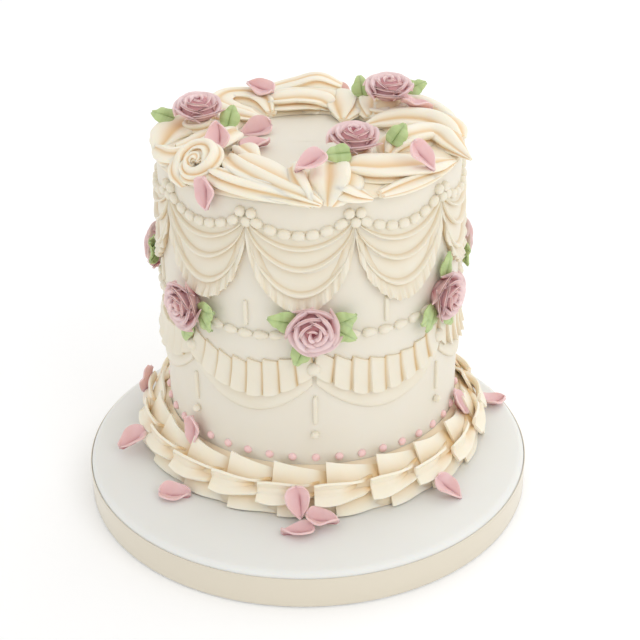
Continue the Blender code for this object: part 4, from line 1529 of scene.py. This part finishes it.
@dataclass
class Flowers:
    """Sugar roses, leaves and loose petals on the wall, the rim, the frill and the board."""

    side_angles: tuple[float, ...] = (-48.0, 1.0, 54.0, 105.5, 157.0, 208.5, 260.0)
    side_height: float = 103.0
    side_lift: float = 0.1
    leaf_reach: float = 7.4
    leaf_lift: float = 1.2
    leaf_length: float = 11.5
    leaf_width: float = 8.4
    petal_length: float = 14.5
    petal_width: float = 10.5
    petal_sink: float = 0.8
    rim_leaf_length: float = 10.5
    rim_leaf_width: float = 8.0
    rim_leaf_sink: float = 0.9
    rim_rose_foot: float = 1.2
    back_limit: float = 101.7
    petals_in_folds: tuple[tuple[str, float], ...] = (
        ("foot_petal_4", 0.0), ("foot_petal_9", 0.0), ("foot_petal_10", 0.9), ("foot_petal_7", 3.2),
        ("rim_petal_2", 0.6), ("rim_petal_3", 2.2), ("rim_petal_5", 0.8),
    )
    rim_roses: tuple[tuple[str, float, float, float], ...] = (
        ("left", 12.0, 10.0, -0.9), ("back", 12.0, 40.0, -0.9), ("front", 12.0, 70.0, 0.1),
    )
    side_leaves: tuple[tuple[int, tuple[tuple[int, ...], ...]], ...] = (
        (1, ((17, -31), (260,))), (2, ((30, -28), (165,), (246,))), (3, ((196, 226), (80,), (-67,))),
        (4, ((170, 215),)), (5, ((25, -30), (190,))), (6, ((150, 200), (-20,))), (7, ((-10, 40),)),
    )
    rim_leaves: tuple[tuple[float, float, float], ...] = (
        (0.0, 35.0, 165.0), (0.0, 48.0, 75.0), (0.0, 48.0, 100.0),
        (0.0, 35.0, 25.0), (0.0, 42.0, 190.0), (0.0, 48.0, 55.0),
    )
    rim_petals: tuple[tuple[float, float, float], ...] = (
        (0.0, 35.0, 150.0), (0.0, 20.0, 200.0), (-20.0, 38.0, 110.0), (-36.0, 84.0, -90.0),
        (0.0, 14.0, 30.0), (0.0, 28.0, 215.0), (112.0, 8.0, -112.0), (43.0, 42.0, -75.0),
        (170.0, 62.0, 20.0), (205.0, 78.0, -70.0),
    )
    foot_petals: tuple[tuple[float, float, float], ...] = (
        (-100.0, 62.0, -80.0), (-71.5, 16.0, -80.0), (-43.0, 6.0, 40.0), (-48.5, 76.0, -80.0),
        (-4.5, 58.0, -80.0), (-4.0, 3.0, 184.0), (2.5, 10.0, -10.0), (42.0, 25.0, -75.0),
        (71.0, 60.0, -70.0), (95.0, 6.0, -60.0), (140.0, 60.0, -90.0), (180.0, 60.0, -75.0),
        (222.0, 60.0, -100.0),
    )

    def at_node(self, surface: Surface, axes: np.ndarray, node: str) -> Surface:
        """Surface turned by the axes and moved so that its box's middle is the node's.

        Args:
            surface: The piece about the origin.
            axes: Columns that its local X, Y and Z become.
            node: CAD node that it stands for.

        Returns:
            The placed surface.
        """
        turned_points = surface.points @ axes.T
        middle = (turned_points.min(axis=0) + turned_points.max(axis=0)) / 2
        return Surface(turned_points + node_centre(node) - middle, surface.blocks, surface.shade)

    def build_roses(self, paste: bpy.types.Material) -> None:
        """Adds the seven roses on the wall and the three on the rim."""
        for number, angle in enumerate(self.side_angles):
            rose = SugarRose(seed=number).surface()
            axes = np.stack([rightward(angle), UPWARD, outward(angle)], axis=1)
            spot = on_wall(angle, self.side_height, self.side_lift)
            spin = frame_spin(0.9 * number + 0.4)
            node = f"side_rose_{number + 1}"
            add_piece(f"{node}_petals", rose.moved(axes @ spin, spot), paste, [node])
        for number, (name, tilt, turn, lift) in enumerate(self.rim_roses):
            rose = SugarRose(foot=self.rim_rose_foot, seed=20 + number).surface()
            node = f"rim_rose_{name}"
            placed = self.at_node(rose, frame_axes(0.0, tilt, turn), node)
            placed = placed.moved(np.eye(3), np.array([0.0, 0.0, lift]))
            add_piece(f"{node}_petals", placed, paste, [node])

    def build_leaves(self, paste: bpy.types.Material, support: BVHTree) -> None:
        """Adds the leaves beside the roses, single or in pairs."""
        for rose, clusters in self.side_leaves:
            angle = self.side_angles[rose - 1]
            axes = np.stack([rightward(angle), UPWARD, outward(angle)], axis=1)
            spot = on_wall(angle, self.side_height, self.side_lift)
            for number, cluster in enumerate(clusters):
                heading = math.radians(sum(cluster) / len(cluster))
                reach = self.leaf_reach
                foot = np.array([math.cos(heading) * reach, math.sin(heading) * reach, self.leaf_lift])
                leaves = []
                for order, direction in enumerate(cluster):
                    length = self.leaf_length - 0.6 * order
                    leaf = leaf_surface(length, self.leaf_width, rose + 2.1 * number + order)
                    spin = frame_spin(math.radians(direction))
                    leaf = leaf.moved(spin, foot + np.array([0.0, 0.0, 0.5 * order]))
                    leaves.append(leaf.moved(axes, spot))
                node = f"side_leaf_{rose}_{number + 1}"
                add_piece(f"{node}_blade", joined(leaves), paste, [node])
        for number, (angle, tilt, turn) in enumerate(self.rim_leaves):
            node = f"rim_leaf_{number + 1}"
            shape = leaf_surface(self.rim_leaf_length, self.rim_leaf_width, 1.3 * number)
            leaf = self.at_node(shape, frame_axes(angle, tilt, turn), node)
            rested = settled(leaf, support, DOWNWARD, self.rim_leaf_sink)
            add_piece(f"{node}_blade", rested, paste, [node])

    def build_petals(self, paste: bpy.types.Material, support: BVHTree) -> None:
        """Adds the loose petals on the rim, the frill and the board."""
        for zone, spots in (("rim", self.rim_petals), ("foot", self.foot_petals)):
            for number, (angle, tilt, turn) in enumerate(spots):
                node = f"{zone}_petal_{number + 1}"
                shape = petal_surface(self.petal_length, self.petal_width, 1.9 * number)
                petal = self.at_node(shape, frame_axes(angle, tilt, turn), node)
                direction = -outward(angle) if abs(tilt) > 50 else np.array(DOWNWARD)
                lift = dict(self.petals_in_folds).get(node)
                if lift is None:
                    rested = settled(petal, support, direction.tolist(), self.petal_sink)
                else:
                    rested = petal.moved(np.eye(3), UPWARD * lift)
                over = max(0.0, float(rested.points[:, 1].max()) - self.back_limit)
                rested = rested.moved(np.eye(3), np.array([0.0, -over, 0.0]))
                add_piece(f"{node}_sugar", rested, paste, [node])

    def build(self, support: BVHTree) -> None:
        """Adds every flower piece.

        Args:
            support: Search tree of what the loose ones rest on.
        """
        rose_paste = ROSE_PASTE.material()
        leaf_paste = LEAF_PASTE.material()
        self.build_roses(rose_paste)
        self.build_leaves(leaf_paste, support)
        self.build_petals(rose_paste, support)


def frame_spin(turn: float) -> np.ndarray:
    """Matrix that turns about Z by an angle in radians."""
    cosine, sine = math.cos(turn), math.sin(turn)
    return np.array([[cosine, -sine, 0], [sine, cosine, 0], [0, 0, 1.0]])


def tree_of(names: Sequence[str]) -> BVHTree:
    """Search tree over the meshes of several pieces.

    Args:
        names: Names of the pieces.

    Returns:
        One tree of all their faces, in metres.
    """
    corners: list[Vector] = []
    faces: list[tuple[int, ...]] = []
    for name in names:
        mesh = bpy.data.objects[name].data
        start = len(corners)
        corners += [vertex.co.copy() for vertex in mesh.vertices]
        faces += [tuple(corner + start for corner in face.vertices) for face in mesh.polygons]
    return BVHTree.FromPolygons(corners, faces)


@dataclass
class Studio:
    """White floor, even white surroundings, soft lights and the camera at the photograph's angle."""

    target: tuple[float, float, float] = (6.32, 0.0, 78.44)
    distance: float = 562.2
    elevation: float = 0.49609
    roll: float = -0.01144
    lens: float = 70.31
    floor_size: float = 9.0
    floor_sides: int = 64
    floor_gap: float = 0.0002
    surroundings: float = 0.9

    def floor(self) -> None:
        """Adds the floor as a round sheet."""
        sides = self.floor_sides
        turn = np.arange(sides) * 2 * math.pi / sides
        depth = np.full(sides, -self.floor_gap)
        rim = np.stack([self.floor_size * np.cos(turn), self.floor_size * np.sin(turn), depth], axis=1)
        mesh = bpy.data.meshes.new("floor")
        mesh.from_pydata(rim.tolist(), [], [list(range(sides))])
        # paper sweep: matt, with hardly any highlight of its own
        material, tree = new_material("white_paper_sweep")
        settings = {
            "Base Color": linear("ffffff"),
            "Roughness": 0.9,
            "Specular IOR Level": 0.1,
            "Emission Color": linear("ffffff"),
            "Emission Strength": 0.05,
        }
        shader = add_node(tree, "ShaderNodeBsdfPrincipled", settings)
        add_node(tree, "ShaderNodeOutputMaterial", None, {"Surface": shader.outputs["BSDF"]})
        mesh.materials.append(material)
        sheet_object = bpy.data.objects.new("floor", mesh)
        bpy.context.scene.collection.objects.link(sheet_object)

    def light(self, name: str, place: tuple[float, float, float], size: float, power: float,
            colour: str) -> None:
        """Adds a square soft light that faces the cake.

        Args:
            name: Name of the lamp.
            place: Where it hangs, in metres.
            size: Its side, in metres.
            power: Its power, in watts.
            colour: Its sRGB hex colour.
        """
        lamp = bpy.data.lights.new(name, "AREA")
        lamp.size = size
        lamp.energy = power
        lamp.color = linear(colour)[:3]
        holder = bpy.data.objects.new(name, lamp)
        holder.location = place
        aim = Vector((0.0, 0.0, 0.08)) - Vector(place)
        holder.rotation_euler = aim.to_track_quat("-Z", "Y").to_euler()
        bpy.context.scene.collection.objects.link(holder)

    def camera(self) -> None:
        """Adds the camera: it looks at the target from a distance and an elevation, slightly rolled."""
        back = np.array([0.0, -math.cos(self.elevation), math.sin(self.elevation)])
        right = np.array([1.0, 0.0, 0.0])
        up = np.array([0.0, math.sin(self.elevation), math.cos(self.elevation)])
        rolled_right = math.cos(self.roll) * right + math.sin(self.roll) * up
        rolled_up = -math.sin(self.roll) * right + math.cos(self.roll) * up
        view = bpy.data.cameras.new("camera")
        view.lens = self.lens
        view.sensor_width = 36.0
        view.clip_start = 0.05
        view.clip_end = 30.0
        holder = bpy.data.objects.new("camera", view)
        place = Matrix.Identity(4)
        middle = (np.array(self.target) + back * self.distance) * MILLIMETRE
        for row in range(3):
            place[row] = (rolled_right[row], rolled_up[row], back[row], middle[row])
        holder.matrix_world = place
        bpy.context.scene.collection.objects.link(holder)
        bpy.context.scene.camera = holder

    def build(self) -> None:
        """Adds the floor, the surroundings, the lights and the camera."""
        scene = bpy.context.scene
        scene.view_settings.view_transform = "Standard"
        world = bpy.data.worlds.new("surroundings")
        world.use_nodes = True
        world.node_tree.nodes["Background"].inputs["Color"].default_value = linear("ffffff")
        world.node_tree.nodes["Background"].inputs["Strength"].default_value = self.surroundings
        scene.world = world
        self.floor()
        self.light("window", place=(0.75, -0.75, 0.95), size=0.7, power=2.6, colour="ffffff")
        self.light("back_window", place=(0.6, 0.8, 0.8), size=0.8, power=2.0, colour="ffffff")
        self.camera()


def main() -> None:
    logging.basicConfig(level=logging.INFO, format="%(name)s %(message)s")
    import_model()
    Board().build()
    CakeBody().build()
    UpperSwags().build()
    LowerSwags().build()
    DotRing().build()
    FootFrill().build()
    RimBorder().build()
    support = tree_of(["rim_border_piping", "cake_wall", "foot_frill_piping", "board_icing"])
    Flowers().build(support)
    Studio().build()
    bpy.context.view_layer.update()


if __name__ == "__main__":
    main()
